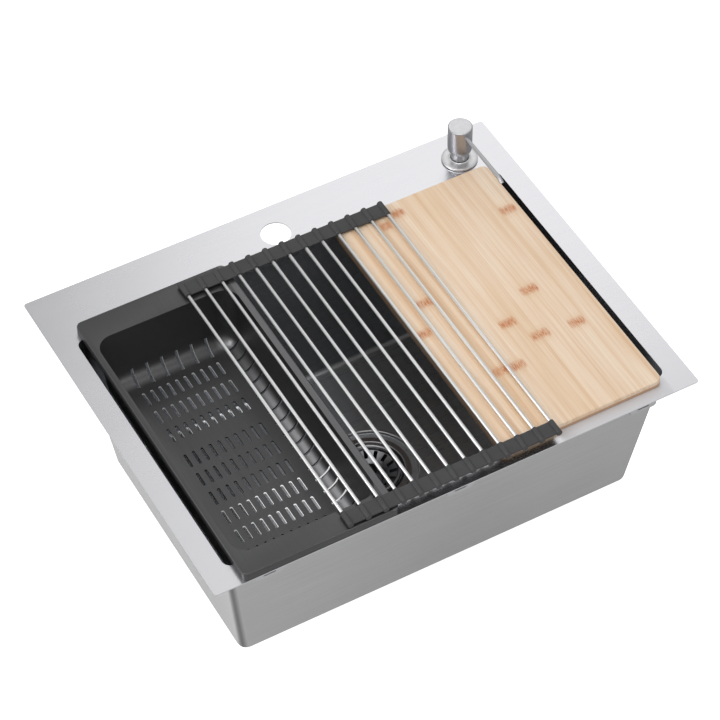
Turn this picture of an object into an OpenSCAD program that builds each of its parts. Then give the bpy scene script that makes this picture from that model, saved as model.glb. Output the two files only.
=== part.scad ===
// Drop-in workstation kitchen sink: a deck with one deep basin, a basket strainer,
// a soap dispenser, a colander, a bamboo board and a roll-up rack lying on both.
// Millimetres. +X is right, +Y is to the back, +Z is up. The origin lies on the axis of the
// tap hole, in the plane of the deck's underside, which rests on the worktop.

/* [Deck] */
// Width of the deck, left to right
deck_w = 711.2; // [690:0.1:760]
// Depth of the deck, front to back
deck_d = 558.8; // [545:0.1:600]
// Thickness of the deck sheet
deck_t = 1.5; // [1:0.1:2.5]
// Corner radius of the deck
deck_corner_r = 4; // [2:0.5:12]
// Deck left and right of the basin
side_margin = 31.75; // [28:0.25:38]
// Deck in front of the basin
front_margin = 31.75; // [29:0.25:38]
// Deck behind the basin
back_margin = 95.25; // [92:0.25:104]
// Diameter of the tap hole
tap_hole_d = 42; // [32:0.5:45]
// Centre of the tap hole from the deck's back edge
tap_setback = 50.8; // [46:0.1:56]

/* [Basin] */
// Depth of the basin below the deck's top face
basin_depth = 228.6; // [190:0.1:260]
// How far each wall leans in towards the floor
basin_lean = 29; // [12:1:36]
// Thickness of the basin sheet
basin_t = 1.2; // [0.8:0.1:2]
// Radius of the basin's upright corners
basin_r = 12; // [8:1:18]
// Radius of the basin's floor edges
basin_floor_r = 7; // [5:0.5:14]
// Diameter of the round recess that the strainer sits in
recess_d = 136; // [124:1:150]
// Depth of that recess below the floor
recess_depth = 4; // [3:0.5:7]
// Diameter of the drain hole
drain_hole_d = 90; // [90:0.5:92]

/* [Clip brackets] */
// Width of a bracket for the worktop clips
bracket_w = 40; // [28:1:44]
// Height of a bracket below the deck
bracket_h = 19.5; // [14:0.5:22]
// Sheet thickness of a bracket
bracket_t = 1.5; // [1:0.1:2]
// Reach of a bracket from the basin's edge
bracket_reach = 23.5; // [18:0.5:25]
// Length of the slot that a clip hooks into
bracket_slot_l = 17; // [12:1:20]
// Height of that slot
bracket_slot_h = 2.5; // [2:0.5:4]

/* [Strainer] */
// Diameter of the strainer's flange
flange_d = 114; // [114:1:120]
// Sheet thickness of the strainer body
strainer_t = 1.4; // [1:0.1:2]
// Inner diameter at the top of the flange's bevel
mouth_d = 98; // [95:0.5:98]
// Depth of the strainer cup below its flange
cup_depth = 48; // [40:1:60]
// Diameter of the basket's rim
basket_d = 84; // [80:0.5:84]
// Depth of the basket
basket_depth = 26; // [20:1:30]
// Outer diameter of the tailpiece
tailpiece_d = 38.1; // [31.8:0.1:40]
// Length of the tailpiece
tailpiece_l = 100; // [60:1:150]

/* [Dispenser] */
// Centre of the dispenser from the deck's right edge
dispenser_setin = 65.6; // [62:0.1:85]
// Diameter of the dispenser's collar
collar_d = 51; // [46:0.5:56]
// Height of the collar above the deck
collar_h = 5; // [4:0.5:7]
// Diameter of the pump head's cap
cap_d = 34.7; // [30:0.1:38]
// Height of the cap's top above the deck
head_h = 64; // [56:1:75]
// Diameter of the head's skirt where it enters the collar
skirt_d = 25.2; // [23:0.1:27]
// Stroke of the pump
pump_stroke = 12; // [8:0.5:13]
// Diameter of the spout
spout_d = 6; // [4.5:0.1:8]
// Reach of the spout from the dispenser's axis
spout_reach = 110; // [90:1:120]
// Diameter of the soap bottle
bottle_d = 62; // [50:1:66]
// Height of the soap bottle's body
bottle_h = 140; // [100:1:160]

/* [Colander] */
// Width of the colander over its rim
colander_w = 224.5; // [200:0.5:240]
// Depth of the colander from its rim to its floor
colander_depth = 91; // [70:1:100]
// Wall thickness of the colander
colander_t = 2.5; // [1.5:0.1:3.5]
// Width of the rim at the left and the right
colander_side_rim = 10; // [8:0.5:14]
// Gap between the colander's rim and the basin's left edge
colander_gap = 7.25; // [4:0.25:12]
// Radius of the colander's floor edges
colander_floor_r = 22; // [14:1:26]
// Length of a drain slot
slot_l = 24; // [18:0.5:25]
// Width of a drain slot
slot_w = 4; // [3:0.25:5]

/* [Board] */
// Width of the cutting board
board_w = 244; // [200:1:260]
// Thickness of the cutting board and height of the colander's rim, which carry the rack
board_t = 11.7; // [9:0.1:14]
// Corner radius of the board
board_corner_r = 10; // [5:1:20]
// Gap between the board and the basin's right edge
board_gap = 13.75; // [8:0.25:20]

/* [Rack] */
// Distance from one rod to the next
rod_pitch = 25.4; // [22:0.1:27]
// Diameter of a rod
rod_d = 5; // [4:0.1:6]
// Outer diameter of the silicone tube round a rod's end
grip_d = 8.5; // [7.6:0.1:10]
// Length of a silicone grip along the rod
grip_l = 23.5; // [18:0.5:30]
// Thickness of the web between two tubes
web_t = 2.6; // [2:0.1:3.5]

/* [Hidden] */
$fn = 64;
hull_fn = 32;
cut = 1;
seat_gap = 0.3;
run_gap = 0.06;
thread_gap = 0.05;

// Deck and basin
deck_top = deck_t;
deck_back = tap_setback;
deck_front = tap_setback - deck_d;
opening_w = deck_w - 2 * side_margin;
opening_front = deck_front + front_margin;
opening_back = deck_back - back_margin;
opening_d = opening_back - opening_front;
opening_y = (opening_front + opening_back) / 2;
basin_floor = deck_top - basin_depth;
recess_floor = basin_floor - recess_depth;
drain_x = 0;
drain_y = opening_y;

// Clip brackets: places along the front and back, and along the sides, as shares
bracket_front_shares = [-0.425, 0, 0.425];
bracket_back_shares = [-0.22, 0.22];
bracket_side_shares = [-0.25, 0.25];
bracket_taper = 3;
bracket_slot_drop = 12.5;
bracket_leg_gap = 0.2;

// Underside of the deck: a band along its edge and a pad at the tap hole lie on the worktop's
// plane, and the rest stands a little higher
relief = 0.2;
hem_gap = 1.25;
hem_w = min(side_margin, front_margin) - bracket_reach - hem_gap;
tap_pad_band = 5;

// Strainer, from the flange down
gasket_t = 1.6;
gasket_band = 7;
gasket_inset = 1;
flange_z = recess_floor + gasket_t;
flange_top = flange_z + strainer_t;
cup_clear = 0.8;
cup_r = drain_hole_d / 2 - cup_clear;
cup_inner_r = cup_r - strainer_t;
bevel_drop = strainer_t + gasket_t;
bevel_out = 0.5;
cup_floor = flange_top - cup_depth;
outlet_wall = 5.5;
outlet_lip = 1;
outlet_inner_r = tailpiece_d / 2 - outlet_lip;
outlet_r = outlet_inner_r + outlet_wall;
outlet_l = 20;
cup_cone_h = 8;
outlet_end = cup_floor - cup_cone_h - outlet_l;
washer_t = 3;
friction_t = 1;
nut_h = 14;
nut_wall = 8;
nut_r = cup_r + nut_wall;
nut_lug_count = 6;
nut_lug_w = 10;
nut_lug_h = 5;
washer_top = recess_floor - basin_t;
friction_top = washer_top - washer_t;
nut_top = friction_top - friction_t;
tail_wall = 1.2;
tail_flange_t = 1.5;
tail_flange_play = 0.4;
tail_flange_r = outlet_r - tail_flange_play;
tail_neck_play = 0.5;
tail_neck_spare = 2;
seal_t = 2;
tail_top = outlet_end - seal_t;
tail_end = tail_top - tailpiece_l;
coupling_wall = 3.5;
coupling_h = 17;
coupling_lip_t = 2.5;
coupling_gap = 0.35;

// Basket
basket_r = basket_d / 2;
basket_rim_band = 4;
basket_t = 1;
basket_slot_count = 15;
basket_slot_w = 5;
basket_slot_in = 24.5;
basket_slot_out = 35;
basket_face_drop = 3;
basket_dish_r = 38;
basket_hub_r = 20;
basket_well_r = 18;
basket_hub_drop = 9;
basket_rim_drop = 1;
basket_rim_z = flange_top - basket_rim_drop;
basket_hole_count = 12;
basket_hole_r = 2.5;
basket_hole_circle = 12;
knob_r = 9;
knob_h = 5;
post_r = 3.5;
knob_drop = 0.5;
knob_top = basket_rim_z - knob_drop;
post_foot = basket_rim_z - basket_depth;
stopper_r = 24;
stopper_lip_r = 22.5;
stopper_t = 4;
stopper_stub_r = 6.5;
stopper_z = cup_floor + seat_gap;
basket_lift = 100;

// Soap dispenser, on the tap hole's line
dispenser_x = deck_w / 2 - dispenser_setin;
skirt_play = 0.4;
shank_wall = 1.5;
shank_l = 42;
shank_bore_r = skirt_d / 2 + skirt_play;
shank_r = shank_bore_r + shank_wall;
shank_lip_t = 2;
shank_lip_r = 10;
dispenser_hole_play = 0.5;
dispenser_hole_r = shank_r + dispenser_hole_play;
collar_r = collar_d / 2;
collar_edge_h = 2.4;
collar_seal_t = 0.8;
collar_seal_band = 7;
collar_crown_band = 2.2;
collar_crown_r = shank_bore_r + collar_crown_band;
collar_z = deck_top + collar_seal_t;
shank_end = collar_z - shank_l;
deck_washer_t = 2;
deck_washer_r = 23;
deck_washer_foot = relief - deck_washer_t;
deck_nut_h = 9;
deck_nut_r = 21;
wing_l = 9;
wing_t = 4;
wing_h = 14;
skirt_r = skirt_d / 2;
skirt_dip = 3;
skirt_spare = 0.6;
skirt_straight = pump_stroke + skirt_spare;
collar_top = collar_z + collar_h;
head_foot = collar_top - skirt_dip;
cone_foot = collar_top + skirt_straight;
head_top = deck_top + head_h;
cap_r = cap_d / 2;
cap_cone_h = 3.2;
cap_foot = cone_foot + cap_cone_h;
head_wall = 2;
head_roof_t = 9;
stem_r = 4;
stem_bore_r = 1.8;
stem_socket_wall = 3;
stem_socket_l = 22;
spout_drop = 8.5;
spout_z = head_top - spout_drop;
spout_bend_r = 12;
spout_bend_deg = 52;
spout_mouth_l = 2;
spout_wall = 0.8;
spout_root_in = 5;
spout_straight = spout_reach - spout_bend_r;
cylinder_r = 9;
cylinder_wall = 1.2;
cylinder_play = 0.2;
cylinder_l = 52;
cylinder_flange_t = 2;
cylinder_flange_r = shank_bore_r - cylinder_play;
cylinder_top = shank_end + shank_lip_t + cylinder_flange_t;
cylinder_end = cylinder_top - cylinder_l;
piston_h = 5;
piston_drop = 8;
piston_top = cylinder_top - piston_drop;
piston_foot = piston_top - piston_h;
spring_r = 6.2;
spring_wire = 1.1;
spring_turns = 8;
spring_steps = 18;
spring_sides = 8;
spring_foot = cylinder_end + cylinder_wall;
spring_top = piston_foot - run_gap;
tube_r = 3;
tube_wall = 0.8;
tube_clear = 6;
neck_l = 16;
neck_wall = 2;
bottle_wall = 1.4;
bottle_r = bottle_d / 2;
bottle_drop = 6;
bottle_top = shank_end - bottle_drop;
bottle_foot = bottle_top - bottle_h;
bottle_edge_r = 6;

// What rests on the deck
rest_z = deck_top + seat_gap;
opening_left = -opening_w / 2;
opening_right = opening_w / 2;

// Colander
colander_front_inset = 0.5;
colander_back_reach = 20;
colander_front = deck_front + colander_front_inset;
colander_back = opening_back + colander_back_reach;
colander_l = colander_back - colander_front;
colander_front_lip = 2;
colander_left_inset = 2;
colander_front_rim = front_margin + colander_front_lip;
colander_back_rim = 41.5;
colander_left = opening_left + colander_gap;
colander_x = colander_left + colander_w / 2;
colander_top = rest_z + board_t;
colander_floor = colander_top - colander_depth;
colander_edge_r = 9;
colander_lean = 8;
tub_w = colander_w - 2 * colander_side_rim;
tub_front = colander_front + colander_front_rim;
tub_back = colander_back - colander_back_rim;
tub_l = tub_back - tub_front;
tub_y = (tub_front + tub_back) / 2;
tub_corner_r = 23;
slot_columns = 10;
slot_column_pitch = 12.4;
slot_rows_back = 3;
slot_rows_front = 6;
slot_row_gap = 12;
slot_row_pitch = slot_l + slot_row_gap;
slot_group_gap = 14;
slots_back_inset = 39.4;
slit_pitch = 22.2;
slits_across = 6;
slits_side_back = 5;
slits_side_front = 11;
slit_group_gap = 11;
slits_back_inset = 30.4;
slit_floor_reach = 2;
slit_in = colander_floor_r + colander_lean + slit_floor_reach;
slit_rise_share = 0.8;
slit_rise = colander_floor_r * slit_rise_share;

// Board
board_front_inset = 18;
board_back_reach = 8;
board_front = deck_front + board_front_inset;
board_back = opening_back + board_back_reach;
board_l = board_back - board_front;
board_x = opening_right - board_gap - board_w / 2;
board_top = rest_z + board_t;

// Rack: thirteen rods, joined at both ends by silicone grips
rod_count = 13;
rack_rest = max(colander_top, board_top) + seat_gap;
rack_z = rack_rest + grip_d / 2;
rack_shift = 3.3;
rack_x = (colander_left + colander_w + opening_right - board_gap - board_w) / 2 + rack_shift;
rack_first_x = rack_x - (rod_count - 1) * rod_pitch / 2;
rack_front_inset = 2;
rack_back_reach = 11;
rack_front = deck_front + rack_front_inset;
rack_back = opening_back + rack_back_reach;
fold_deg = 26;
hinge_play = 0.05;
hinge_gap = web_t / 2 * tan(fold_deg / 2) + hinge_play;
rod_inset = 2.5;

rack_numbers = ["01", "02", "03", "04", "05", "06", "07", "08", "09", "10", "11", "12", "13"];

// Plain shapes

module rounded_rect(w, d, r) {
    square([w - 2 * r, d], center = true);
    square([w, d - 2 * r], center = true);
    for (x = [-1, 1], y = [-1, 1])
        translate([x * (w / 2 - r), y * (d / 2 - r)])
            circle(r);
}

module ring(r_out, r_in, z, h) {
    translate([0, 0, z])
        difference() {
            cylinder(r = r_out, h = h);
            translate([0, 0, -cut])
                cylinder(r = r_in, h = h + 2 * cut);
        }
}

// A leaning box with round corners and floor edges, from its top edge down to its floor
module tub_form(w, l, r_top, r_foot, lean, foot, top, band) {
    hull()
        for (x = [-1, 1], y = [-1, 1]) {
            translate([x * (w / 2 - r_top), y * (l / 2 - r_top), top - band])
                cylinder(r = r_top, h = band, $fn = hull_fn);
            translate([x * (w / 2 - r_foot - lean), y * (l / 2 - r_foot - lean), foot + r_foot])
                sphere(r_foot, $fn = hull_fn);
        }
}

// Deck and basin

module deck() {
    color("gainsboro")
        difference() {
            linear_extrude(deck_t)
                difference() {
                    translate([0, (deck_front + deck_back) / 2])
                        rounded_rect(deck_w, deck_d, deck_corner_r);
                    translate([0, opening_y])
                        rounded_rect(opening_w, opening_d, basin_r);
                    circle(d = tap_hole_d);
                    translate([dispenser_x, 0])
                        circle(dispenser_hole_r);
                }
            translate([0, 0, -cut])
                linear_extrude(relief + cut)
                    difference() {
                        translate([0, (deck_front + deck_back) / 2])
                            rounded_rect(deck_w - 2 * hem_w, deck_d - 2 * hem_w, deck_corner_r);
                        circle(tap_hole_d / 2 + tap_pad_band);
                    }
        }
}

module basin() {
    color("dimgray")
        difference() {
            union() {
                translate([0, opening_y, 0])
                    tub_form(opening_w + 2 * basin_t, opening_d + 2 * basin_t,
                             basin_r + basin_t, basin_floor_r + basin_t, basin_lean,
                             basin_floor - basin_t, relief, basin_t);
                translate([drain_x, drain_y, recess_floor - basin_t])
                    cylinder(d = recess_d + 2 * basin_t, h = recess_depth + basin_t);
            }
            translate([0, opening_y, 0])
                tub_form(opening_w, opening_d, basin_r, basin_floor_r, basin_lean,
                         basin_floor, cut, basin_t + cut);
            translate([drain_x, drain_y, recess_floor])
                cylinder(d = recess_d, h = recess_depth + cut);
            translate([drain_x, drain_y, recess_floor - basin_t - cut])
                cylinder(d = drain_hole_d, h = recess_depth + basin_t + 2 * cut);
        }
}

// One bracket, with its back at the basin's edge and reaching along -Y
module clip_bracket() {
    leg = bracket_reach - bracket_leg_gap - basin_t;
    difference() {
        intersection() {
            translate([0, 0, -bracket_h])
                linear_extrude(bracket_h)
                    difference() {
                        translate([-bracket_w / 2, -bracket_reach])
                            square([bracket_w, leg]);
                        translate([bracket_t - bracket_w / 2, bracket_t - bracket_reach])
                            square([bracket_w - 2 * bracket_t, leg]);
                    }
            rotate([90, 0, 0])
                linear_extrude(bracket_reach + cut)
                    polygon([[-bracket_w / 2, 0],
                             [bracket_w / 2, 0],
                             [bracket_w / 2, bracket_taper - bracket_h],
                             [bracket_w / 2 - bracket_taper, -bracket_h],
                             [bracket_taper - bracket_w / 2, -bracket_h],
                             [-bracket_w / 2, bracket_taper - bracket_h]]);
        }
        translate([-bracket_slot_l / 2, -bracket_reach - cut, -bracket_slot_drop - bracket_slot_h])
            cube([bracket_slot_l, bracket_t + 2 * cut, bracket_slot_h]);
    }
}

module clip_brackets() {
    color("silver")
        translate([0, 0, relief]) {
            for (share = bracket_front_shares)
                translate([share * opening_w, opening_front, 0])
                    clip_bracket();
            for (share = bracket_back_shares)
                translate([share * opening_w, opening_back, 0])
                    rotate([0, 0, 180])
                        clip_bracket();
            for (share = bracket_side_shares) {
                translate([opening_left, opening_y + share * opening_d, 0])
                    rotate([0, 0, -90])
                        clip_bracket();
                translate([opening_right, opening_y + share * opening_d, 0])
                    rotate([0, 0, 90])
                        clip_bracket();
            }
        }
}

// Strainer, gaskets and waste pipe, all on the drain's axis

module at_drain() {
    translate([drain_x, drain_y, 0])
        children();
}

module flange_gasket() {
    color("black")
        at_drain()
            ring(flange_d / 2 - gasket_inset, flange_d / 2 - gasket_band, recess_floor, gasket_t);
}

module strainer_body() {
    cone_foot_z = cup_floor - cup_cone_h;
    color("gray")
        at_drain()
            rotate_extrude()
                polygon([[flange_d / 2, flange_z],
                         [flange_d / 2, flange_top],
                         [mouth_d / 2, flange_top],
                         [cup_inner_r, flange_top - bevel_drop],
                         [cup_inner_r, cup_floor],
                         [outlet_inner_r + 2 * strainer_t, cup_floor],
                         [outlet_inner_r, cup_floor - strainer_t],
                         [outlet_inner_r, outlet_end],
                         [outlet_r, outlet_end],
                         [outlet_r, cone_foot_z],
                         [cup_r, cup_floor - strainer_t],
                         [cup_r, recess_floor],
                         [mouth_d / 2 + bevel_out, flange_z]]);
}

module rubber_washer() {
    color("black")
        at_drain()
            ring(nut_r - gasket_inset, cup_r + seat_gap, washer_top - washer_t, washer_t);
}

module friction_ring() {
    color("tan")
        at_drain()
            ring(nut_r - gasket_inset, cup_r + seat_gap, friction_top - friction_t, friction_t);
}

module lock_nut() {
    color("silver")
        at_drain()
            difference() {
                union() {
                    translate([0, 0, nut_top - nut_h])
                        cylinder(r = nut_r - nut_lug_h, h = nut_h);
                    translate([0, 0, nut_top - nut_h / 3])
                        cylinder(r = nut_r, h = nut_h / 3);
                    for (i = [0 : nut_lug_count - 1])
                        rotate([0, 0, i * 360 / nut_lug_count])
                            translate([0, -nut_lug_w / 2, nut_top - nut_h])
                                cube([nut_r, nut_lug_w, nut_h]);
                }
                translate([0, 0, nut_top - nut_h - cut])
                    cylinder(r = cup_r + thread_gap, h = nut_h + 2 * cut);
            }
}

module tailpiece_seal() {
    color("white")
        at_drain()
            ring(tail_flange_r, outlet_inner_r, tail_top, seal_t);
}

module tailpiece() {
    neck_r = tailpiece_d / 2 - tail_neck_play;
    neck_foot = tail_top - tail_flange_t - coupling_lip_t - tail_neck_spare;
    color("silver")
        at_drain()
            rotate_extrude()
                polygon([[tailpiece_d / 2 - tail_wall, tail_top],
                         [tail_flange_r, tail_top],
                         [tail_flange_r, tail_top - tail_flange_t],
                         [neck_r, tail_top - tail_flange_t],
                         [neck_r, neck_foot],
                         [tailpiece_d / 2, neck_foot],
                         [tailpiece_d / 2, tail_end],
                         [tailpiece_d / 2 - tail_wall, tail_end]]);
}

module coupling_nut() {
    lip_top = tail_top - tail_flange_t;
    top = lip_top - coupling_lip_t + coupling_h;
    color("silver")
        at_drain()
            difference() {
                union() {
                    translate([0, 0, lip_top - coupling_lip_t])
                        cylinder(r = outlet_r + coupling_wall, h = coupling_h);
                    for (i = [0 : nut_lug_count - 1])
                        rotate([0, 0, i * 360 / nut_lug_count])
                            translate([0, -nut_lug_h / 2, lip_top - coupling_lip_t])
                                cube([outlet_r + 2 * coupling_wall, nut_lug_h, coupling_h]);
                }
                translate([0, 0, lip_top])
                    cylinder(r = outlet_r + thread_gap, h = top - lip_top + cut);
                translate([0, 0, lip_top - coupling_lip_t - cut])
                    cylinder(r = tailpiece_d / 2 + coupling_gap, h = coupling_lip_t + 2 * cut);
            }
}

// Basket: a rim, a dished face with radial slots, a well with holes, and a raised knob
module basket() {
    face_z = basket_rim_z - basket_face_drop;
    hub_z = face_z - basket_hub_drop;
    color("silver")
        at_drain()
            difference() {
                rotate_extrude()
                    polygon([[basket_r, basket_rim_z],
                             [basket_r - basket_rim_band, basket_rim_z],
                             [basket_dish_r - basket_t, face_z],
                             [basket_hub_r, hub_z],
                             [basket_well_r, post_foot + basket_t],
                             [0, post_foot + basket_t],
                             [0, post_foot],
                             [basket_well_r + basket_t, post_foot],
                             [basket_hub_r + basket_t, hub_z - basket_t],
                             [basket_dish_r, face_z - basket_t],
                             [basket_r - basket_rim_band + basket_t, basket_rim_z - basket_t],
                             [basket_r, basket_rim_z - basket_t]]);
                for (i = [0 : basket_slot_count - 1])
                    rotate([0, 0, i * 360 / basket_slot_count])
                        translate([basket_slot_in, -basket_slot_w / 2, hub_z - 2 * basket_t])
                            cube([basket_slot_out - basket_slot_in, basket_slot_w,
                                  basket_hub_drop + 3 * basket_t]);
                for (i = [0 : basket_hole_count - 1])
                    rotate([0, 0, i * 360 / basket_hole_count])
                        translate([basket_hole_circle, 0, post_foot - cut])
                            cylinder(r = basket_hole_r, h = basket_t + 2 * cut);
            }
}

module basket_knob() {
    color("silver")
        at_drain() {
            translate([0, 0, post_foot + basket_t])
                cylinder(r = post_r, h = knob_top - knob_h - post_foot - basket_t);
            translate([0, 0, knob_top - knob_h])
                cylinder(r1 = post_r, r2 = knob_r, h = knob_h / 2);
            translate([0, 0, knob_top - knob_h / 2])
                cylinder(r = knob_r, h = knob_h / 2);
        }
}

module basket_stopper() {
    color("black")
        at_drain() {
            translate([0, 0, stopper_z + stopper_t])
                cylinder(r = stopper_stub_r, h = post_foot - stopper_z - stopper_t);
            translate([0, 0, stopper_z])
                cylinder(r1 = stopper_lip_r, r2 = stopper_r, h = stopper_t);
        }
}

// Soap dispenser

module at_dispenser() {
    translate([dispenser_x, 0, 0])
        children();
}

module collar() {
    color("silver")
        at_dispenser()
            rotate_extrude()
                polygon([[shank_bore_r, collar_top],
                         [collar_crown_r, collar_top],
                         [collar_r, collar_z + collar_edge_h],
                         [collar_r, collar_z],
                         [shank_r, collar_z],
                         [shank_r, shank_end],
                         [shank_lip_r, shank_end],
                         [shank_lip_r, shank_end + shank_lip_t],
                         [shank_bore_r, shank_end + shank_lip_t]]);
}

module collar_seal() {
    color("black")
        at_dispenser()
            ring(collar_r - gasket_inset, collar_r - collar_seal_band, deck_top, collar_seal_t);
}

module deck_washer() {
    color("black")
        at_dispenser()
            ring(deck_washer_r, shank_r + seat_gap, deck_washer_foot, deck_washer_t);
}

module deck_nut() {
    color("ivory")
        at_dispenser()
            difference() {
                translate([0, 0, deck_washer_foot - deck_nut_h]) {
                    cylinder(r = deck_nut_r, h = deck_nut_h);
                    translate([-deck_nut_r - wing_l, -wing_t / 2, deck_nut_h - wing_h])
                        cube([2 * (deck_nut_r + wing_l), wing_t, wing_h]);
                }
                translate([0, 0, deck_washer_foot - wing_h - cut])
                    cylinder(r = shank_r + thread_gap, h = wing_h + 2 * cut);
            }
}

module soap_bottle() {
    neck_r = shank_r + neck_wall;
    neck_top = shank_end + neck_l;
    color("whitesmoke", 0.8)
        at_dispenser()
            rotate_extrude()
                polygon([[shank_r + thread_gap, neck_top],
                         [neck_r, neck_top],
                         [neck_r, bottle_top],
                         [bottle_r - bottle_edge_r, bottle_top],
                         [bottle_r, bottle_top - bottle_edge_r],
                         [bottle_r, bottle_foot],
                         [0, bottle_foot],
                         [0, bottle_foot + bottle_wall],
                         [bottle_r - bottle_wall, bottle_foot + bottle_wall],
                         [bottle_r - bottle_wall, bottle_top - bottle_edge_r - bottle_wall],
                         [bottle_r - bottle_edge_r - bottle_wall, bottle_top - bottle_wall],
                         [shank_r + thread_gap, bottle_top - bottle_wall]]);
}

module pump_cylinder() {
    bore_r = cylinder_r - cylinder_wall;
    color("white")
        at_dispenser()
            rotate_extrude()
                polygon([[stem_r + run_gap, cylinder_top],
                         [cylinder_flange_r, cylinder_top],
                         [cylinder_flange_r, cylinder_top - cylinder_flange_t],
                         [cylinder_r, cylinder_top - cylinder_flange_t],
                         [cylinder_r, cylinder_end],
                         [tube_r + thread_gap, cylinder_end],
                         [tube_r + thread_gap, cylinder_end + cylinder_wall],
                         [bore_r, cylinder_end + cylinder_wall],
                         [bore_r, cylinder_top - cylinder_flange_t],
                         [stem_r + run_gap, cylinder_top - cylinder_flange_t]]);
}

module dip_tube() {
    tube_foot = bottle_foot + tube_clear;
    color("white")
        at_dispenser()
            ring(tube_r, tube_r - tube_wall, tube_foot, cylinder_end + cylinder_wall - tube_foot);
}

// A coil: rings of points along a helix, joined by facets
module coil(r, wire, foot, top, turns) {
    count = turns * spring_steps;
    rise = top - foot - wire;
    points = [for (i = [0 : count], k = [0 : spring_sides - 1])
        let (a = i * 360 / spring_steps, b = k * 360 / spring_sides,
             reach = r - wire / 2 + wire / 2 * cos(b))
        [reach * cos(a), reach * sin(a), foot + wire / 2 * (1 + sin(b)) + rise * i / count]];
    sides = [for (i = [0 : count - 1], k = [0 : spring_sides - 1])
        let (n = i * spring_sides, m = (k + 1) % spring_sides)
        [n + k, n + m, n + spring_sides + m, n + spring_sides + k]];
    polyhedron(points, concat(sides,
        [[for (k = [spring_sides - 1 : -1 : 0]) k],
         [for (k = [0 : spring_sides - 1]) count * spring_sides + k]]));
}

module pump_spring() {
    color("silver")
        at_dispenser()
            coil(spring_r, spring_wire, spring_foot + run_gap, spring_top, spring_turns);
}

module pump_stem() {
    stem_top = head_top - head_roof_t - seat_gap;
    piston_r = cylinder_r - cylinder_wall - run_gap;
    color("white")
        at_dispenser()
            difference() {
                translate([0, 0, piston_foot]) {
                    cylinder(r = stem_r, h = stem_top - piston_foot);
                    cylinder(r = piston_r, h = piston_h);
                }
                translate([0, 0, piston_foot - cut])
                    cylinder(r = stem_bore_r, h = stem_top - piston_foot + 2 * cut);
            }
}

module pump_head() {
    hollow_r = skirt_r - head_wall;
    hollow_top = head_top - head_roof_t;
    socket_foot = hollow_top - stem_socket_l;
    color("silver")
        at_dispenser()
            difference() {
                union() {
                    difference() {
                        rotate_extrude()
                            polygon([[0, head_foot],
                                     [skirt_r, head_foot],
                                     [skirt_r, cone_foot],
                                     [cap_r, cap_foot],
                                     [cap_r, head_top],
                                     [0, head_top]]);
                        translate([0, 0, head_foot - cut])
                            cylinder(r = hollow_r, h = hollow_top - head_foot + cut);
                    }
                    translate([0, 0, socket_foot])
                        cylinder(r = stem_r + stem_socket_wall, h = stem_socket_l + cut);
                }
                translate([0, 0, socket_foot - cut])
                    cylinder(r = stem_r + run_gap, h = stem_socket_l + cut);
                translate([0, 0, spout_z])
                    rotate([90, 0, 0])
                        cylinder(d = spout_d, h = cap_r + cut);
            }
}

module spout_run(r) {
    root = cap_r - spout_root_in;
    translate([0, -root, 0])
        rotate([90, 0, 0])
            cylinder(r = r, h = spout_straight - root);
    translate([0, -spout_straight, -spout_bend_r])
        rotate([0, 90, 0])
            rotate_extrude(angle = spout_bend_deg)
                translate([-spout_bend_r, 0])
                    circle(r);
}

module spout() {
    color("silver")
        at_dispenser()
            translate([0, 0, spout_z])
                difference() {
                    spout_run(spout_d / 2);
                    translate([0, -spout_straight, -spout_bend_r])
                        rotate([spout_bend_deg, 0, 0])
                            translate([0, 0, spout_bend_r])
                                rotate([90, 0, 0])
                                    cylinder(r = spout_d / 2 - spout_wall,
                                             h = 2 * spout_mouth_l, center = true);
                }
}

// Colander

// Rows of slots: a group at the back and a longer one at the front
function slot_row_y(i) =
    tub_l / 2 - slots_back_inset - slot_l / 2 - i * slot_row_pitch
    - (i >= slot_rows_back ? slot_group_gap : 0);

function slit_side_y(i) =
    tub_l / 2 - slits_back_inset - i * slit_pitch - (i >= slits_side_back ? slit_group_gap : 0);

module floor_slots() {
    straight = slot_l - slot_w;
    translate([0, 0, colander_floor - colander_t - cut])
        linear_extrude(colander_t + 2 * cut)
            for (row = [0 : slot_rows_back + slot_rows_front - 1],
                 column = [0 : slot_columns - 1])
                translate([(column - (slot_columns - 1) / 2) * slot_column_pitch,
                           slot_row_y(row)]) {
                    square([slot_w, straight], center = true);
                    for (s = [-1, 1])
                        translate([0, s * straight / 2])
                            circle(slot_w / 2);
                }
}

// Slits that run over the rounded floor edges
module edge_slits() {
    slit_foot = colander_floor - colander_t - cut;
    slit_h = colander_t + cut + slit_rise;
    slit_run = slit_in + colander_t + cut;
    for (side = [-1, 1]) {
        for (i = [0 : slits_side_back + slits_side_front - 1])
            translate([side * (tub_w / 2 + colander_t + cut - slit_run / 2),
                       slit_side_y(i), slit_foot + slit_h / 2])
                cube([slit_run, slot_w, slit_h], center = true);
        for (i = [0 : slits_across - 1])
            translate([(i - (slits_across - 1) / 2) * slit_pitch,
                       side * (tub_l / 2 + colander_t + cut - slit_run / 2),
                       slit_foot + slit_h / 2])
                cube([slot_w, slit_run, slit_h], center = true);
    }
}

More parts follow.
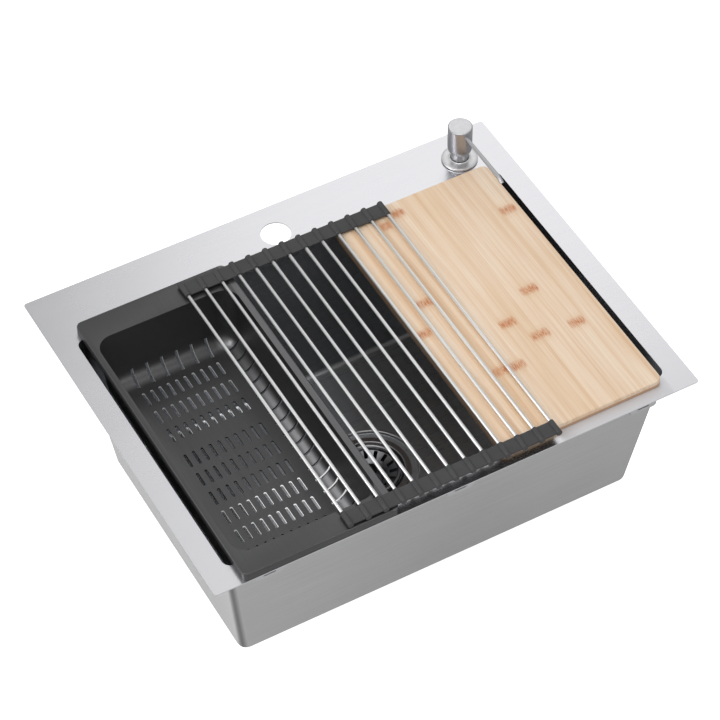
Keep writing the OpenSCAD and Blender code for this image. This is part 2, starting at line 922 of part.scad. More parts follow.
module colander() {
    rim_x = colander_left_inset / 2;
    rim_y = (colander_front + colander_back) / 2;
    rim_w = colander_w - colander_left_inset;
    color("dimgray")
        translate([colander_x, 0, 0])
            difference() {
                union() {
                    translate([rim_x, rim_y, colander_top - colander_t])
                        linear_extrude(colander_t)
                            rounded_rect(rim_w, colander_l, colander_edge_r);
                    translate([rim_x, rim_y, rest_z])
                        linear_extrude(board_t - colander_t)
                            difference() {
                                rounded_rect(rim_w, colander_l, colander_edge_r);
                                rounded_rect(rim_w - 2 * colander_t,
                                             colander_l - 2 * colander_t,
                                             colander_edge_r - colander_t);
                            }
                    translate([0, tub_y, 0])
                        tub_form(tub_w + 2 * colander_t, tub_l + 2 * colander_t,
                                 tub_corner_r + colander_t, colander_floor_r + colander_t,
                                 colander_lean, colander_floor - colander_t,
                                 colander_top - colander_t / 2, colander_t);
                }
                translate([0, tub_y, 0]) {
                    tub_form(tub_w, tub_l, tub_corner_r, colander_floor_r, colander_lean,
                             colander_floor, colander_top + cut, colander_t + cut);
                    floor_slots();
                    edge_slits();
                }
            }
}

// Board

module cutting_board() {
    color("burlywood")
        translate([board_x, (board_front + board_back) / 2, rest_z])
            linear_extrude(board_t)
                rounded_rect(board_w, board_l, board_corner_r);
}

// Rack: rod i and the grips on its two ends

module rack_rod(i) {
    color("lightgray")
        translate([rack_first_x + i * rod_pitch, rack_back - rod_inset, rack_z])
            rotate([90, 0, 0])
                cylinder(d = rod_d, h = rack_back - rack_front - 2 * rod_inset);
}

module grip(i, y_low, blind_front) {
    half = rod_pitch / 2 - hinge_gap;
    left = i > 0 ? half : 0;
    right = i < rod_count - 1 ? half : 0;
    bore_low = blind_front ? rod_inset : -cut;
    difference() {
        union() {
            translate([0, y_low + grip_l, 0])
                rotate([90, 0, 0])
                    cylinder(d = grip_d, h = grip_l);
            translate([-left, y_low, -web_t / 2])
                cube([left + right, grip_l, web_t]);
        }
        translate([0, y_low + bore_low, 0])
            rotate([-90, 0, 0])
                cylinder(r = rod_d / 2 + thread_gap, h = grip_l - rod_inset + cut);
    }
}

module rack_grips(i) {
    color("darkslategray")
        translate([rack_first_x + i * rod_pitch, 0, rack_z]) {
            grip(i, rack_front, true);
            grip(i, rack_back - grip_l, false);
        }
}

deck();
basin();
clip_brackets();
flange_gasket();
strainer_body();
rubber_washer();
friction_ring();
lock_nut();
tailpiece_seal();
tailpiece();
coupling_nut();
basket();
basket_knob();
basket_stopper();
collar();
collar_seal();
deck_washer();
deck_nut();
soap_bottle();
pump_cylinder();
dip_tube();
pump_spring();
pump_stem();
pump_head();
spout();
colander();
cutting_board();
for (i = [0 : rod_count - 1]) {
    rack_rod(i);
    rack_grips(i);
}
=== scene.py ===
"""Kitchen sink with a colander, a bamboo board, a roll-up rack and a soap dispenser.

Run as a script in Blender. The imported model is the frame: each piece is modelled in place
round it, rides on one of its bodies, and gets a finish made of shader nodes.
"""

import math

import bmesh
import bpy
from mathutils import Matrix, Vector


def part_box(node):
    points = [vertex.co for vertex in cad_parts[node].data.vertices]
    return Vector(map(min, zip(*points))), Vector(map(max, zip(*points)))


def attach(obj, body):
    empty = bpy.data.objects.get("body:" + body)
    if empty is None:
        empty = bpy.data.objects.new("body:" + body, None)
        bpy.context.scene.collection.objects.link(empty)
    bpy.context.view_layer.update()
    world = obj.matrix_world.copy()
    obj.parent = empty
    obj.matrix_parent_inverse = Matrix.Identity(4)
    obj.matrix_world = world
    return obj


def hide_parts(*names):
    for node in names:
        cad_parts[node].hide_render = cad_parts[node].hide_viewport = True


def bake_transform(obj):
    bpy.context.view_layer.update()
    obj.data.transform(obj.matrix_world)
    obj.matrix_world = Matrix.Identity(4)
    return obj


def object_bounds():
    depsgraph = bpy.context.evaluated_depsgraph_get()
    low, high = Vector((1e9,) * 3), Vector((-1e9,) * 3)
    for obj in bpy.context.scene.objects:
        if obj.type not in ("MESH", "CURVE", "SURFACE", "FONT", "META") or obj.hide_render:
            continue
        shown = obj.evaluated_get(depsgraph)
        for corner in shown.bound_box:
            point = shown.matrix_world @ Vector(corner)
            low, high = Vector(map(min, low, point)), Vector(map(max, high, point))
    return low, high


bl_info = {
    "name": "Kitchen sink with roll-up rack",
    "version": (1, 0, 0),
    "blender": (4, 5, 0),
    "location": "View3D > Sidebar > Sink",
    "description": "Models the pieces of a drop-in kitchen sink round its packed frame",
    "category": "Object",
}

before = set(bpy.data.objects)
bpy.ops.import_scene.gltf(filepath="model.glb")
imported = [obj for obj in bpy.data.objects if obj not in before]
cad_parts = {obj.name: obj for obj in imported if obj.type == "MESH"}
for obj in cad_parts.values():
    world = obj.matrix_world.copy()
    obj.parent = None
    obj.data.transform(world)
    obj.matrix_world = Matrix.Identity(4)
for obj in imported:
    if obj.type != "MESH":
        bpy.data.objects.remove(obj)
CAD_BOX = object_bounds()

TURN = 2 * math.pi
LAID_ALONG_Y = (TURN / 4, 0, 0)
NUMBERS = [f"{n:02d}" for n in range(1, 14)]

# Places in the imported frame, in metres: upright axes, the basin's opening and its floor
DRAIN = Vector((0.0, -0.26035, 0.0))
DISPENSER = Vector((0.29, 0.0, 0.0))
OPENING_X = 0.32385
OPENING_FRONT = -0.47625
OPENING_BACK = -0.04445
OPENING_Y = (OPENING_FRONT + OPENING_BACK) / 2
OPENING_HALF_Y = (OPENING_BACK - OPENING_FRONT) / 2
BASIN_FLOOR = -0.2271

# The rack's sleeves: their outer radius and the depth of their bore
SLEEVE_RADIUS = 0.00425
SLEEVE_BORE = 0.0205

# The rack's webs: where one starts and where its bend starts, from a rod's middle
WEB_START = 0.0036
WEB_HALF_THICKNESS = 0.0013
WEB_STEPS = 16


def tone(code):
    """A colour written as six hex digits, turned into the linear values that shaders take."""
    parts = [int(code[i : i + 2], 16) / 255 for i in (0, 2, 4)]
    return tuple(c / 12.92 if c <= 0.04045 else ((c + 0.055) / 1.055) ** 2.4 for c in parts)


# Selecting and shaping, as by hand


def let_go():
    """Leaves edit mode and deselects everything."""
    if bpy.context.mode != "OBJECT":
        bpy.ops.object.mode_set(mode="OBJECT")
    bpy.ops.object.select_all(action="DESELECT")


def hold(*pieces):
    """Selects these pieces only, the last one active."""
    let_go()
    for piece in pieces:
        piece.select_set(True)
    bpy.context.view_layer.objects.active = pieces[-1]


def edit(piece):
    """Opens one piece in edit mode."""
    hold(piece)
    bpy.ops.object.mode_set(mode="EDIT")


def done():
    """Ends edit mode."""
    bpy.ops.object.mode_set(mode="OBJECT")


def pick(kind, test):
    """In edit mode, selects the edges or faces that pass a test."""
    bpy.ops.mesh.select_mode(type=kind)
    bpy.ops.mesh.select_all(action="DESELECT")
    mesh = bpy.context.edit_object.data
    form = bmesh.from_edit_mesh(mesh)
    items = {"EDGE": form.edges, "FACE": form.faces}[kind]
    found = [item for item in items if test(item)]
    if not found:
        raise RuntimeError(f"nothing to pick on {bpy.context.edit_object.name}")
    for item in found:
        item.select_set(True)
    bmesh.update_edit_mesh(mesh)


def close_up(gap=1e-6):
    """In edit mode, merges vertices that meet and points all faces outwards."""
    bpy.ops.mesh.select_all(action="SELECT")
    bpy.ops.mesh.remove_doubles(threshold=gap)
    bpy.ops.mesh.normals_make_consistent(inside=False)


def middle(edge):
    """The point halfway along an edge."""
    return (edge.verts[0].co + edge.verts[1].co) / 2


def off_axis(face, axis):
    """How far a face lies from an upright axis."""
    return (face.calc_center_median() - axis).xy.length


def along(edge, axis):
    """Whether an edge runs mostly along an axis."""
    run = edge.verts[1].co - edge.verts[0].co
    return run.length > 0 and abs(run[axis]) > 0.7 * run.length


def named(name):
    """Names the new primitive, and puts its place, turn and scale into its mesh."""
    piece = bpy.context.object
    piece.name = name
    bpy.ops.object.transform_apply(location=True, rotation=True, scale=True)
    return piece


def block(name, low, high):
    """A box from its lowest to its highest corner, as the start of a piece."""
    let_go()
    low, high = Vector(low), Vector(high)
    bpy.ops.mesh.primitive_cube_add(size=1.0, location=(low + high) / 2)
    bpy.context.object.scale = high - low
    return named(name)


def rounded(name, low, high, corner, steps=8):
    """A box with rounded upright corners."""
    piece = block(name, low, high)
    edit(piece)
    pick("EDGE", lambda e: along(e, 2))
    bpy.ops.mesh.bevel(offset=corner, segments=steps, affect="EDGES", clamp_overlap=False)
    done()
    return piece


def round_rim(piece, height, radius, steps=3):
    """Rounds the outline of the flat face at a height."""
    edit(piece)
    pick("EDGE", lambda e: all(abs(v.co.z - height) < 1e-6 for v in e.verts)
         and any(abs(f.normal.z) < 0.9 for f in e.link_faces))
    bpy.ops.mesh.bevel(offset=radius, segments=steps, affect="EDGES", clamp_overlap=False)
    done()


def leaning_tub(name, half, height, corner, foot_edge, lean, steps=10):
    """A closed tub round the upright axis: half sizes at its top, heights low and high."""
    low, high = height
    piece = block(name, (-half[0], -half[1], low), (half[0], half[1], high))
    edit(piece)
    pick("FACE", lambda f: f.normal.z < -0.9)
    bpy.ops.transform.resize(value=(1 - lean / half[0], 1 - lean / half[1], 1))
    pick("EDGE", lambda e: along(e, 2))
    bpy.ops.mesh.bevel(offset=corner, segments=steps, affect="EDGES", clamp_overlap=False)
    pick("EDGE", lambda e: all(abs(v.co.z - low) < 1e-6 for v in e.verts)
         and any(abs(f.normal.z) < 0.9 for f in e.link_faces))
    bpy.ops.mesh.bevel(offset=foot_edge, segments=steps, affect="EDGES", clamp_overlap=False)
    close_up(2e-5)
    done()
    return piece


def shift(piece, x=0.0, y=0.0, z=0.0):
    """Moves a piece's mesh, so that its object stays at the origin."""
    edit(piece)
    bpy.ops.mesh.select_all(action="SELECT")
    bpy.ops.transform.translate(value=(x, y, z))
    done()
    return piece


def soften(outline, radius, steps=3):
    """Rounds the corners of an outline of (radius, height) points."""
    points = [Vector(p) for p in outline]
    closed = (points[0] - points[-1]).length < 1e-9
    if closed:
        points = points[:-1]
    result = []
    count = len(points)
    for i, corner in enumerate(points):
        before, after = points[i - 1], points[(i + 1) % count]
        if (not closed and i in (0, count - 1)) or corner.x < 1e-7:
            result.append(corner)
            continue
        reach = min(radius, (before - corner).length * 0.45, (after - corner).length * 0.45)
        start = corner + (before - corner).normalized() * reach
        end = corner + (after - corner).normalized() * reach
        for k in range(steps + 1):
            t = k / steps
            result.append(start * (1 - t) ** 2 + corner * 2 * t * (1 - t) + end * t**2)
    if closed:
        result.append(result[0])
    return result


def turned(name, outline, centre, steps=72):
    """A piece spun round the upright axis through centre, from an outline in metres."""
    let_go()
    bpy.ops.mesh.primitive_plane_add(size=0.001)
    piece = bpy.context.object
    piece.name = name
    points = [Vector(p) for p in outline]
    bpy.ops.object.mode_set(mode="EDIT")
    bpy.ops.mesh.select_mode(type="VERT")
    bpy.ops.mesh.select_all(action="SELECT")
    bpy.ops.mesh.merge(type="CENTER")
    bpy.ops.transform.translate(value=(points[0].x, 0, points[0].y))
    for last, this in zip(points, points[1:]):
        move = {"value": (this.x - last.x, 0, this.y - last.y)}
        bpy.ops.mesh.extrude_region_move(TRANSFORM_OT_translate=move)
    bpy.ops.mesh.select_all(action="SELECT")
    bpy.ops.mesh.spin(steps=steps, angle=TURN, center=(0, 0, 0), axis=(0, 0, 1))
    close_up()
    bpy.ops.transform.translate(value=centre)
    done()
    return piece


def peg(name, radius, low, high, centre, steps=72):
    """A plain upright cylinder that cuts a round hole."""
    return turned(name, [(0, low), (radius, low), (radius, high), (0, high)], centre, steps)


def add_modifier(piece, kind, **settings):
    """Adds a modifier with these settings and applies it."""
    hold(piece)
    bpy.ops.object.modifier_add(type=kind)
    modifier = piece.modifiers[-1]
    for key, value in settings.items():
        setattr(modifier, key, value)
    bpy.ops.object.modifier_apply(modifier=modifier.name)


def combine(piece, other, how):
    """Cuts or joins another solid, which is used up."""
    add_modifier(piece, "BOOLEAN", operation=how, object=other, solver="EXACT")
    bpy.data.objects.remove(other)


def weld(*pieces):
    """Makes one object of several, named as the last one is."""
    hold(*pieces)
    bpy.ops.object.join()
    return bpy.context.object


def copied(piece, name):
    """A copy with its own mesh."""
    hold(piece)
    bpy.ops.object.duplicate(linked=False)
    twin = bpy.context.object
    twin.name = name
    return twin


def ring_of(piece, count, centre):
    """Copies a cutter round an upright axis and joins the copies."""
    twins = [piece]
    for i in range(1, count):
        twin = copied(piece, f"{piece.name}_{i}")
        edit(twin)
        bpy.ops.mesh.select_all(action="SELECT")
        bpy.ops.transform.rotate(value=TURN * i / count, orient_axis="Z", center_override=centre)
        done()
        twins.append(twin)
    return weld(*reversed(twins))


def smooth(piece, angle=32):
    """Shades a piece smooth, apart from its edges sharper than the angle."""
    hold(piece)
    bpy.ops.object.shade_smooth_by_angle(angle=math.radians(angle))


def settle(piece, body, finishes, nodes, angle=32):
    """Smooths a finished piece, gives it its finishes, and lets it ride for its CAD nodes."""
    smooth(piece, angle)
    piece.data.materials.clear()
    for finish in finishes:
        piece.data.materials.append(finish)
    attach(piece, body)
    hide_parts(*nodes)


def finish_faces(piece, slot, test):
    """Gives the faces that pass a test the piece's finish of this number."""
    edit(piece)
    pick("FACE", test)
    piece.active_material_index = slot
    bpy.ops.object.material_slot_assign()
    done()


def paint(node, finish):
    """Gives a CAD node a better finish."""
    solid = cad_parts[node]
    for slot in solid.material_slots:
        slot.material = finish
    if not solid.material_slots:
        solid.data.materials.append(finish)


# Shader sums


class Ink:
    """A shader socket on which Python sums build Math nodes."""

    def __init__(self, finish, socket):
        self.finish = finish
        self.socket = socket

    def _sum(self, operation, first, second):
        return self.finish.node("ShaderNodeMath", {"operation": operation}, {0: first, 1: second})

    def __add__(self, other):
        return self._sum("ADD", self, other)

    __radd__ = __add__

    def __sub__(self, other):
        return self._sum("SUBTRACT", self, other)

    def __rsub__(self, other):
        return self._sum("SUBTRACT", other, self)

    def __mul__(self, other):
        return self._sum("MULTIPLY", self, other)

    __rmul__ = __mul__

    def __truediv__(self, other):
        return self._sum("DIVIDE", self, other)

    def __abs__(self):
        return self.finish.node("ShaderNodeMath", {"operation": "ABSOLUTE"}, {0: self})


class Finish:
    """A procedural material while it is made."""

    def __init__(self, name, **shader):
        self.material = bpy.data.materials.new(name)
        self.material.use_nodes = True
        self.tree = self.material.node_tree
        self.tree.nodes.clear()
        self.shader = self.tree.nodes.new("ShaderNodeBsdfPrincipled")
        out = self.tree.nodes.new("ShaderNodeOutputMaterial")
        self.tree.links.new(self.shader.outputs[0], out.inputs[0])
        self.set(**shader)
        self.place = self.node("ShaderNodeTexCoord", output="Object")

    def set(self, **values):
        """Sets or links sockets of the shader; Base_Color stands for Base Color."""
        for key, value in values.items():
            self.join(value, self.shader.inputs[key.replace("_", " ")])

    def join(self, value, socket):
        """Links a sum to a socket, or sets the socket to a plain value."""
        if isinstance(value, Ink):
            self.tree.links.new(value.socket, socket)
        elif socket.type == "RGBA" and len(value) == 3:
            socket.default_value = (*value, 1)
        else:
            socket.default_value = value

    def node(self, kind, settings=None, inputs=None, output=0):
        """Adds any node: its settings first, then the values or links of its sockets."""
        made = self.tree.nodes.new(kind)
        for key, value in (settings or {}).items():
            setattr(made, key, value)
        for key, value in (inputs or {}).items():
            self.join(value, made.inputs[key])
        return Ink(self, made.outputs[output])

    def stretched(self, scale):
        """Object coordinates, scaled by a number for each axis."""
        return self.node("ShaderNodeMapping", {}, {"Vector": self.place, "Scale": scale})

    def noise(self, vector, scale=1.0, detail=3.0, rough=0.55):
        return self.node("ShaderNodeTexNoise", {}, {"Vector": vector, "Scale": scale,
                                                    "Detail": detail, "Roughness": rough})

    def span(self, value, low, high, to_low=0.0, to_high=1.0):
        """A value's range mapped to another one, held at its ends."""
        return self.node("ShaderNodeMapRange", {"clamp": True}, {
            "Value": value, "From Min": low, "From Max": high,
            "To Min": to_low, "To Max": to_high})

    def blend(self, share, first, second, how="MIX"):
        """A share of the second colour over the first, mixed or blended another way."""
        return self.node("ShaderNodeMix", {"data_type": "RGBA", "blend_type": how},
                         {0: share, 6: first, 7: second}, output=2)

    def bump(self, height, strength, distance):
        return self.node("ShaderNodeBump", {}, {"Height": height, "Strength": strength,
                                                "Distance": distance})

    def inside(self, value, rise, fall):
        """One inside a range and nothing outside: where it fades in, where it fades out."""
        return self.span(value, *rise) * self.span(value, *fall, 1.0, 0.0)

    def grey(self, value):
        """The grey colour of one number."""
        return self.node("ShaderNodeCombineColor", {}, {0: value, 1: value, 2: value})

    def axes(self):
        """The object coordinates as three numbers."""
        split = self.node("ShaderNodeSeparateXYZ", {}, {"Vector": self.place})
        return [Ink(self, s) for s in split.socket.node.outputs]


def darker(colour, share):
    """A colour with each of its parts multiplied, lighter where the share is over one."""
    return tuple(c * share for c in colour)


def painted_wall_shading(made):
    """Painted light and shade on the basin's outer steel: the sides lighter, the rounded corners
    darker.
    """
    x, y, z = made.axes()
    lean = z * (sizes().basin_lean / (sizes().sheet - BASIN_FLOOR))
    from_side = OPENING_X + lean - abs(x)
    from_front = OPENING_HALF_Y + lean - abs(y - OPENING_Y)
    # Painted light on the side walls, and painted shade on the rounded corners
    side = made.span(from_front, 0.004, 0.010, 1.0, 1.38)
    band = (made.span(from_side, 0.0035, 0.0085, 1.0, 0.0)
            * made.span(from_front, 0.0035, 0.0085, 1.0, 0.0))
    return side * (1.0 - band * 0.6)


def front_matt(made):
    """Where the deck is dull: in front of the board, beside the rack."""
    x, y = made.axes()[:2]
    rack_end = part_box("rack_rod_13")[1].x
    return (made.span(y, OPENING_FRONT - 0.004, OPENING_FRONT + 0.002, 1.0, 0.0)
            * made.inside(x, (rack_end + 0.002, rack_end + 0.012),
                          (OPENING_X - 0.022, OPENING_X - 0.004)))


def brushed_steel(name, colour, grain, roughness=0.3, depth=0.06, metallic=1.0, painted_shading=None,
                  bump=0.05, sheen=0.03, dull=None):
    """Steel with fine lines along one axis, or round one, and faint broad clouding.

    An optional function paints light and shade into the colour, and dull gives a patch that
    mirrors less.
    """
    made = Finish(name, Metallic=metallic)
    fine = {"x": (7, 1100, 1100), "y": (1100, 7, 1100), "z": (1100, 1100, 7),
            "ring": (260, 260, 1400)}[grain]
    lines = made.noise(made.stretched(fine), 1.0, 4.0, 0.7)
    clouds = made.noise(made.place, 9.0, 2.0, 0.5)
    shade = made.span(lines, 0.3, 0.7, 1 - depth, 1 + depth * 0.4)
    shade = shade * made.span(clouds, 0.3, 0.7, 0.975, 1.015)
    # Painted light and shade, where a function for it is given
    if painted_shading:
        shade = shade * painted_shading(made)
    made.set(Base_Color=made.blend(1.0, colour, made.grey(shade), "MULTIPLY"))
    gloss = (made.span(lines, 0.3, 0.7, roughness + sheen * 2, roughness - sheen)
             + made.span(clouds, 0.3, 0.7, -0.015, 0.02))
    if dull:
        patch = dull(made)
        gloss = gloss + patch * 0.3
        made.set(Metallic=1.0 - patch * 0.7)
    made.set(Roughness=gloss)
    made.set(Normal=made.bump(lines, bump, 0.00012))
    return made.material


def lining_painted_light(made, base, colour):
    """The basin's inside, with painted light: a painted highlight along the rounded floor edges,
    and painted shade on the back wall and on strips along the sides.
    """
    x, y, z = made.axes()
    above = z - BASIN_FLOOR
    # Painted light: a highlight along the rounded floor edges, shade on the back wall and on
    # strips along the sides
    edge = made.inside(above, (0.0004, 0.0012), (0.0030, 0.0050))
    behind = (made.span(y, OPENING_BACK - 0.050, OPENING_BACK - 0.044)
              * made.span(above, 0.0050, 0.0070) * made.span(x, -0.122, -0.110))
    strips = (made.span(abs(x), OPENING_X - 0.022, OPENING_X - 0.012)
              * made.span(y, OPENING_FRONT + 0.02, OPENING_FRONT + 0.05))
    base = made.blend(behind, base, darker(colour, 0.58))
    base = made.blend(edge, base, darker(colour, 1.6))
    return made.blend(strips, base, darker(colour, 0.25))


def colander_painted_highlights(made, base, colour):
    """Painted highlights on the colander's coat: along its right rim and its right rounded foot.
    """
    x, y, z = made.axes()
    low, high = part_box("colander")
    # Painted highlights on the right rounded foot and the right rim
    foot = (made.inside(z - low.z, (0.0030, 0.0060), (0.0080, 0.0150))
            * made.span(x, high.x - 0.046, high.x - 0.040)
            * made.span(y, high.y - 0.22, high.y - 0.07, 1.0, 0.35))
    rim = (made.span(x, high.x - 0.0105, high.x - 0.0095)
           * made.span(z, high.z - 0.003, high.z - 0.001))
    base = made.blend(foot, base, darker(colour, 4.0))
    return made.blend(rim, base, darker(colour, 1.5))


def satin_coating(name, colour, roughness, grain, metallic, painted_lighting=None):
    """A satin coating over brushed steel; an optional function paints light and shade into its
    colour by place.
    """
    made = Finish(name, Metallic=metallic)
    fine = {"x": (9, 900, 900), "y": (900, 9, 900), "ring": (300, 300, 300)}[grain]
    lines = made.noise(made.stretched(fine), 1.0, 3.0, 0.6)
    clouds = made.noise(made.place, 7.0, 3.0, 0.5)
    base = made.blend(made.span(clouds, 0.25, 0.75) * 0.6 + lines * 0.25,
                      darker(colour, 0.8), darker(colour, 1.2))
    # Painted light and shade by place, where a function for it is given
    if painted_lighting:
        base = painted_lighting(made, base, colour)
    made.set(Base_Color=base)
    made.set(Roughness=made.span(lines, 0.3, 0.7, roughness + 0.05, roughness - 0.04))
    made.set(Normal=made.bump(lines, 0.04, 0.0001))
    return made.material


def slot_walls_painted_glow(name, centre, half, back):
    """Walls of the slots, dark, with painted light: lighter and faintly glowing in the rows at
    the back, lighter and glowing in the third row from the back and near the front.
    """
    made = Finish(name, Metallic=0.2, Roughness=0.4, Emission_Strength=1.0)
    x, y = made.axes()[:2]
    behind = y - back
    middle_part = made.span(abs(x - centre), half - 0.031, half - 0.027, 1.0, 0.0)
    # Painted light: lighter base colour and an emission glow in chosen rows
    rear = made.span(behind, -0.107, -0.104) * middle_part
    third = made.inside(behind, (-0.1385, -0.1365), (-0.1250, -0.1220)) * middle_part
    last = made.inside(behind, (-0.3345, -0.3325), (-0.2680, -0.2640))
    across = made.span(x, centre - 0.06, centre - 0.01, 0.3, 1.0)
    grains = made.noise(made.place, 400.0, 2.0, 0.5)
    shade = made.span(grains, 0.3, 0.7, 0.03, 0.05) + (rear + third + last) * 0.6
    made.set(Base_Color=made.grey(shade))
    made.set(Emission_Color=made.grey((third * 0.4 + last * 0.6) * across + rear * 0.1))
    return made.material


def soft_rubber(name, colour, roughness=0.6):
    """Silicone or rubber: matt, with a very fine skin and a little dust in its tone."""
    made = Finish(name)
    skin = made.noise(made.place, 1600.0, 2.0, 0.5)
    clouds = made.noise(made.place, 40.0, 3.0, 0.6)
    made.set(Base_Color=made.blend(made.span(clouds, 0.3, 0.7), darker(colour, 0.88),
                                   darker(colour, 1.12)))
    made.set(Roughness=made.span(skin, 0.3, 0.7, roughness - 0.05, roughness + 0.08))
    made.set(Normal=made.bump(skin, 0.12, 0.0001))
    return made.material


def moulded_plastic(name, colour, roughness=0.4, through=0.0):
    """Injection-moulded plastic with a faint flow pattern."""
    made = Finish(name)
    flow = made.noise(made.stretched((30, 30, 8)), 1.0, 2.0, 0.5)
    skin = made.noise(made.place, 900.0, 2.0, 0.5)
    made.set(Base_Color=made.blend(made.span(flow, 0.3, 0.7), darker(colour, 0.95), colour))
    made.set(Roughness=made.span(skin, 0.3, 0.7, roughness - 0.04, roughness + 0.06))
    made.set(Normal=made.bump(skin, 0.05, 0.0001))
    made.set(Subsurface_Weight=through, Subsurface_Radius=(0.004, 0.004, 0.004))
    return made.material


def pressed_fibre(name, colour):
    """Hard washer board, matt and speckled."""
    made = Finish(name)
    threads = made.noise(made.stretched((500, 500, 900)), 1.0, 5.0, 0.8)
    made.set(Base_Color=made.blend(threads, darker(colour, 0.7), colour))
    made.set(Roughness=made.span(threads, 0.3, 0.7, 0.95, 0.8))
    made.set(Normal=made.bump(threads, 0.3, 0.0002))
    return made.material


# Culm joints that show in the board's top face: their places and half widths
BOARD_MARKS = ((0.1566, -0.0591, 0.0085), (0.1316, -0.0723, 0.0060), (0.1056, -0.2210, 0.0090),
               (0.0782, -0.2687, 0.0085), (0.2922, -0.1269, 0.0090), (0.2404, -0.2683, 0.0100),
               (0.1849, -0.3064, 0.0095), (0.2117, -0.3444, 0.0105), (0.2652, -0.3490, 0.0090),
               (0.1340, -0.3737, 0.0085), (0.1581, -0.3762, 0.0085))


def bamboo(name, shades):
    """Glued bamboo strips along Y, each of its own shade, with a few dark culm joints.

    The sides show a darker lower layer, and the left side has painted shade below its edge.
    """
    made = Finish(name)
    x, y, z = made.axes()
    low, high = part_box("cutting_board")
    strip = (high.x - low.x) / 12
    place = (x - low.x) / strip
    strips = made.node("ShaderNodeMath", {"operation": "FLOOR"}, {0: place})
    shade = made.node("ShaderNodeTexWhiteNoise", {"noise_dimensions": "1D"}, {"W": strips})
    fibres = made.noise(made.stretched((1300, 7, 300)), 1.0, 5.0, 0.62)
    bands = made.noise(made.stretched((95, 1.8, 60)), 1.0, 4.0, 0.6)
    drift = made.noise(made.stretched((16, 6, 6)), 1.0, 2.0, 0.5)
    base = made.blend(shade * 0.55 + made.span(drift, 0.35, 0.65) * 0.4, shades["light"],
                      shades["mid"])
    base = made.blend(made.span(bands, 0.45, 0.68) * 0.75, base, shades["warm"])
    base = made.blend(made.span(fibres, 0.48, 0.74) * 0.35, base, shades["deep"])
    base = made.blend(made.span(fibres, 0.5, 0.28) * 0.22, base, shades["light"])
    across = made.node("ShaderNodeMath", {"operation": "FRACT"}, {0: place})
    base = made.blend(made.span(abs(across - 0.5), 0.485, 0.499, 0.0, 0.35), base, shades["deep"])
    wobble = made.noise(made.stretched((420, 60, 60)), 1.0, 3.0, 0.6) - 0.5
    streaks = made.noise(made.stretched((900, 130, 100)), 1.0, 3.0, 0.6)
    joints, halo = 0.0, 0.0
    for at_x, at_y, half in BOARD_MARKS:
        beside = abs(x - at_x)
        behind = abs(y - at_y + wobble * 0.006)
        joints = (made.span(beside, half * 1.1, half * 1.4, 1.0, 0.0)
                  * made.span(behind, 0.0026, 0.0098, 1.0, 0.0)) + joints
        halo = (made.span(beside, half * 0.8, half * 1.6, 1.0, 0.0)
                * made.span(behind, 0.004, 0.018, 1.0, 0.0)) + halo
    base = made.blend(halo * 0.4, base, shades["warm"])
    base = made.blend(joints * made.span(streaks, 0.36, 0.62, 0.15, 0.9), base,
                      shades["node"])
    lower = made.span(z, low.z + 0.0048, low.z + 0.0056, 1.0, 0.0)
    layer = made.noise(made.stretched((60, 60, 900)), 1.0, 4.0, 0.6)
    dark = made.blend(layer, shades["edge"], shades["edge_light"])
    base = made.blend(lower, base, dark)
    # Painted shade on the board's left side, below its top edge
    left = (made.span(x, low.x + 0.0012, low.x + 0.0022, 1.0, 0.0)
            * made.span(z, high.z - 0.0014, high.z - 0.0008, 1.0, 0.0))
    made.set(Base_Color=made.blend(left * 0.8, base, darker(shades["edge"], 0.12)))
    made.set(Roughness=made.span(fibres, 0.3, 0.7, 0.42, 0.56))
    made.set(Normal=made.bump(fibres, 0.06, 0.0003))
    made.set(Coat_Weight=0.08, Coat_Roughness=0.4)
    return made.material


class SinkColours(bpy.types.PropertyGroup):
    """Colours that a user would change."""

    deck: bpy.props.FloatVectorProperty(
        name="Deck", description="Colour of the deck's steel", subtype="COLOR",
        default=tone("dcdcdf"), min=0, max=1)
    shell: bpy.props.FloatVectorProperty(
        name="Basin outside", description="Colour of the basin's outer steel", subtype="COLOR",
        default=tone("cccccc"), min=0, max=1)
    lining: bpy.props.FloatVectorProperty(
        name="Basin inside", description="Colour of the basin's satin lining", subtype="COLOR",
        default=tone("bdc0c4"), min=0, max=1)
    colander: bpy.props.FloatVectorProperty(
        name="Colander", description="Colour of the colander's coating", subtype="COLOR",
        default=tone("5a5a5b"), min=0, max=1)
    rod: bpy.props.FloatVectorProperty(
        name="Rods", description="Colour of the rack's rods", subtype="COLOR",
        default=tone("f4f4f4"), min=0, max=1)
    grip: bpy.props.FloatVectorProperty(
        name="Grips", description="Colour of the rack's silicone", subtype="COLOR",
        default=tone("3f3f40"), min=0, max=1)
    dispenser: bpy.props.FloatVectorProperty(
        name="Dispenser", description="Colour of the dispenser's metal", subtype="COLOR",
        default=tone("b0b0b4"), min=0, max=1)
    board_light: bpy.props.FloatVectorProperty(
        name="Bamboo, light", description="Palest strips of the board", subtype="COLOR",
        default=tone("fbe8d2"), min=0, max=1)
    board_mid: bpy.props.FloatVectorProperty(
        name="Bamboo, middle", description="Other strips of the board", subtype="COLOR",
        default=tone("f0d3b2"), min=0, max=1)


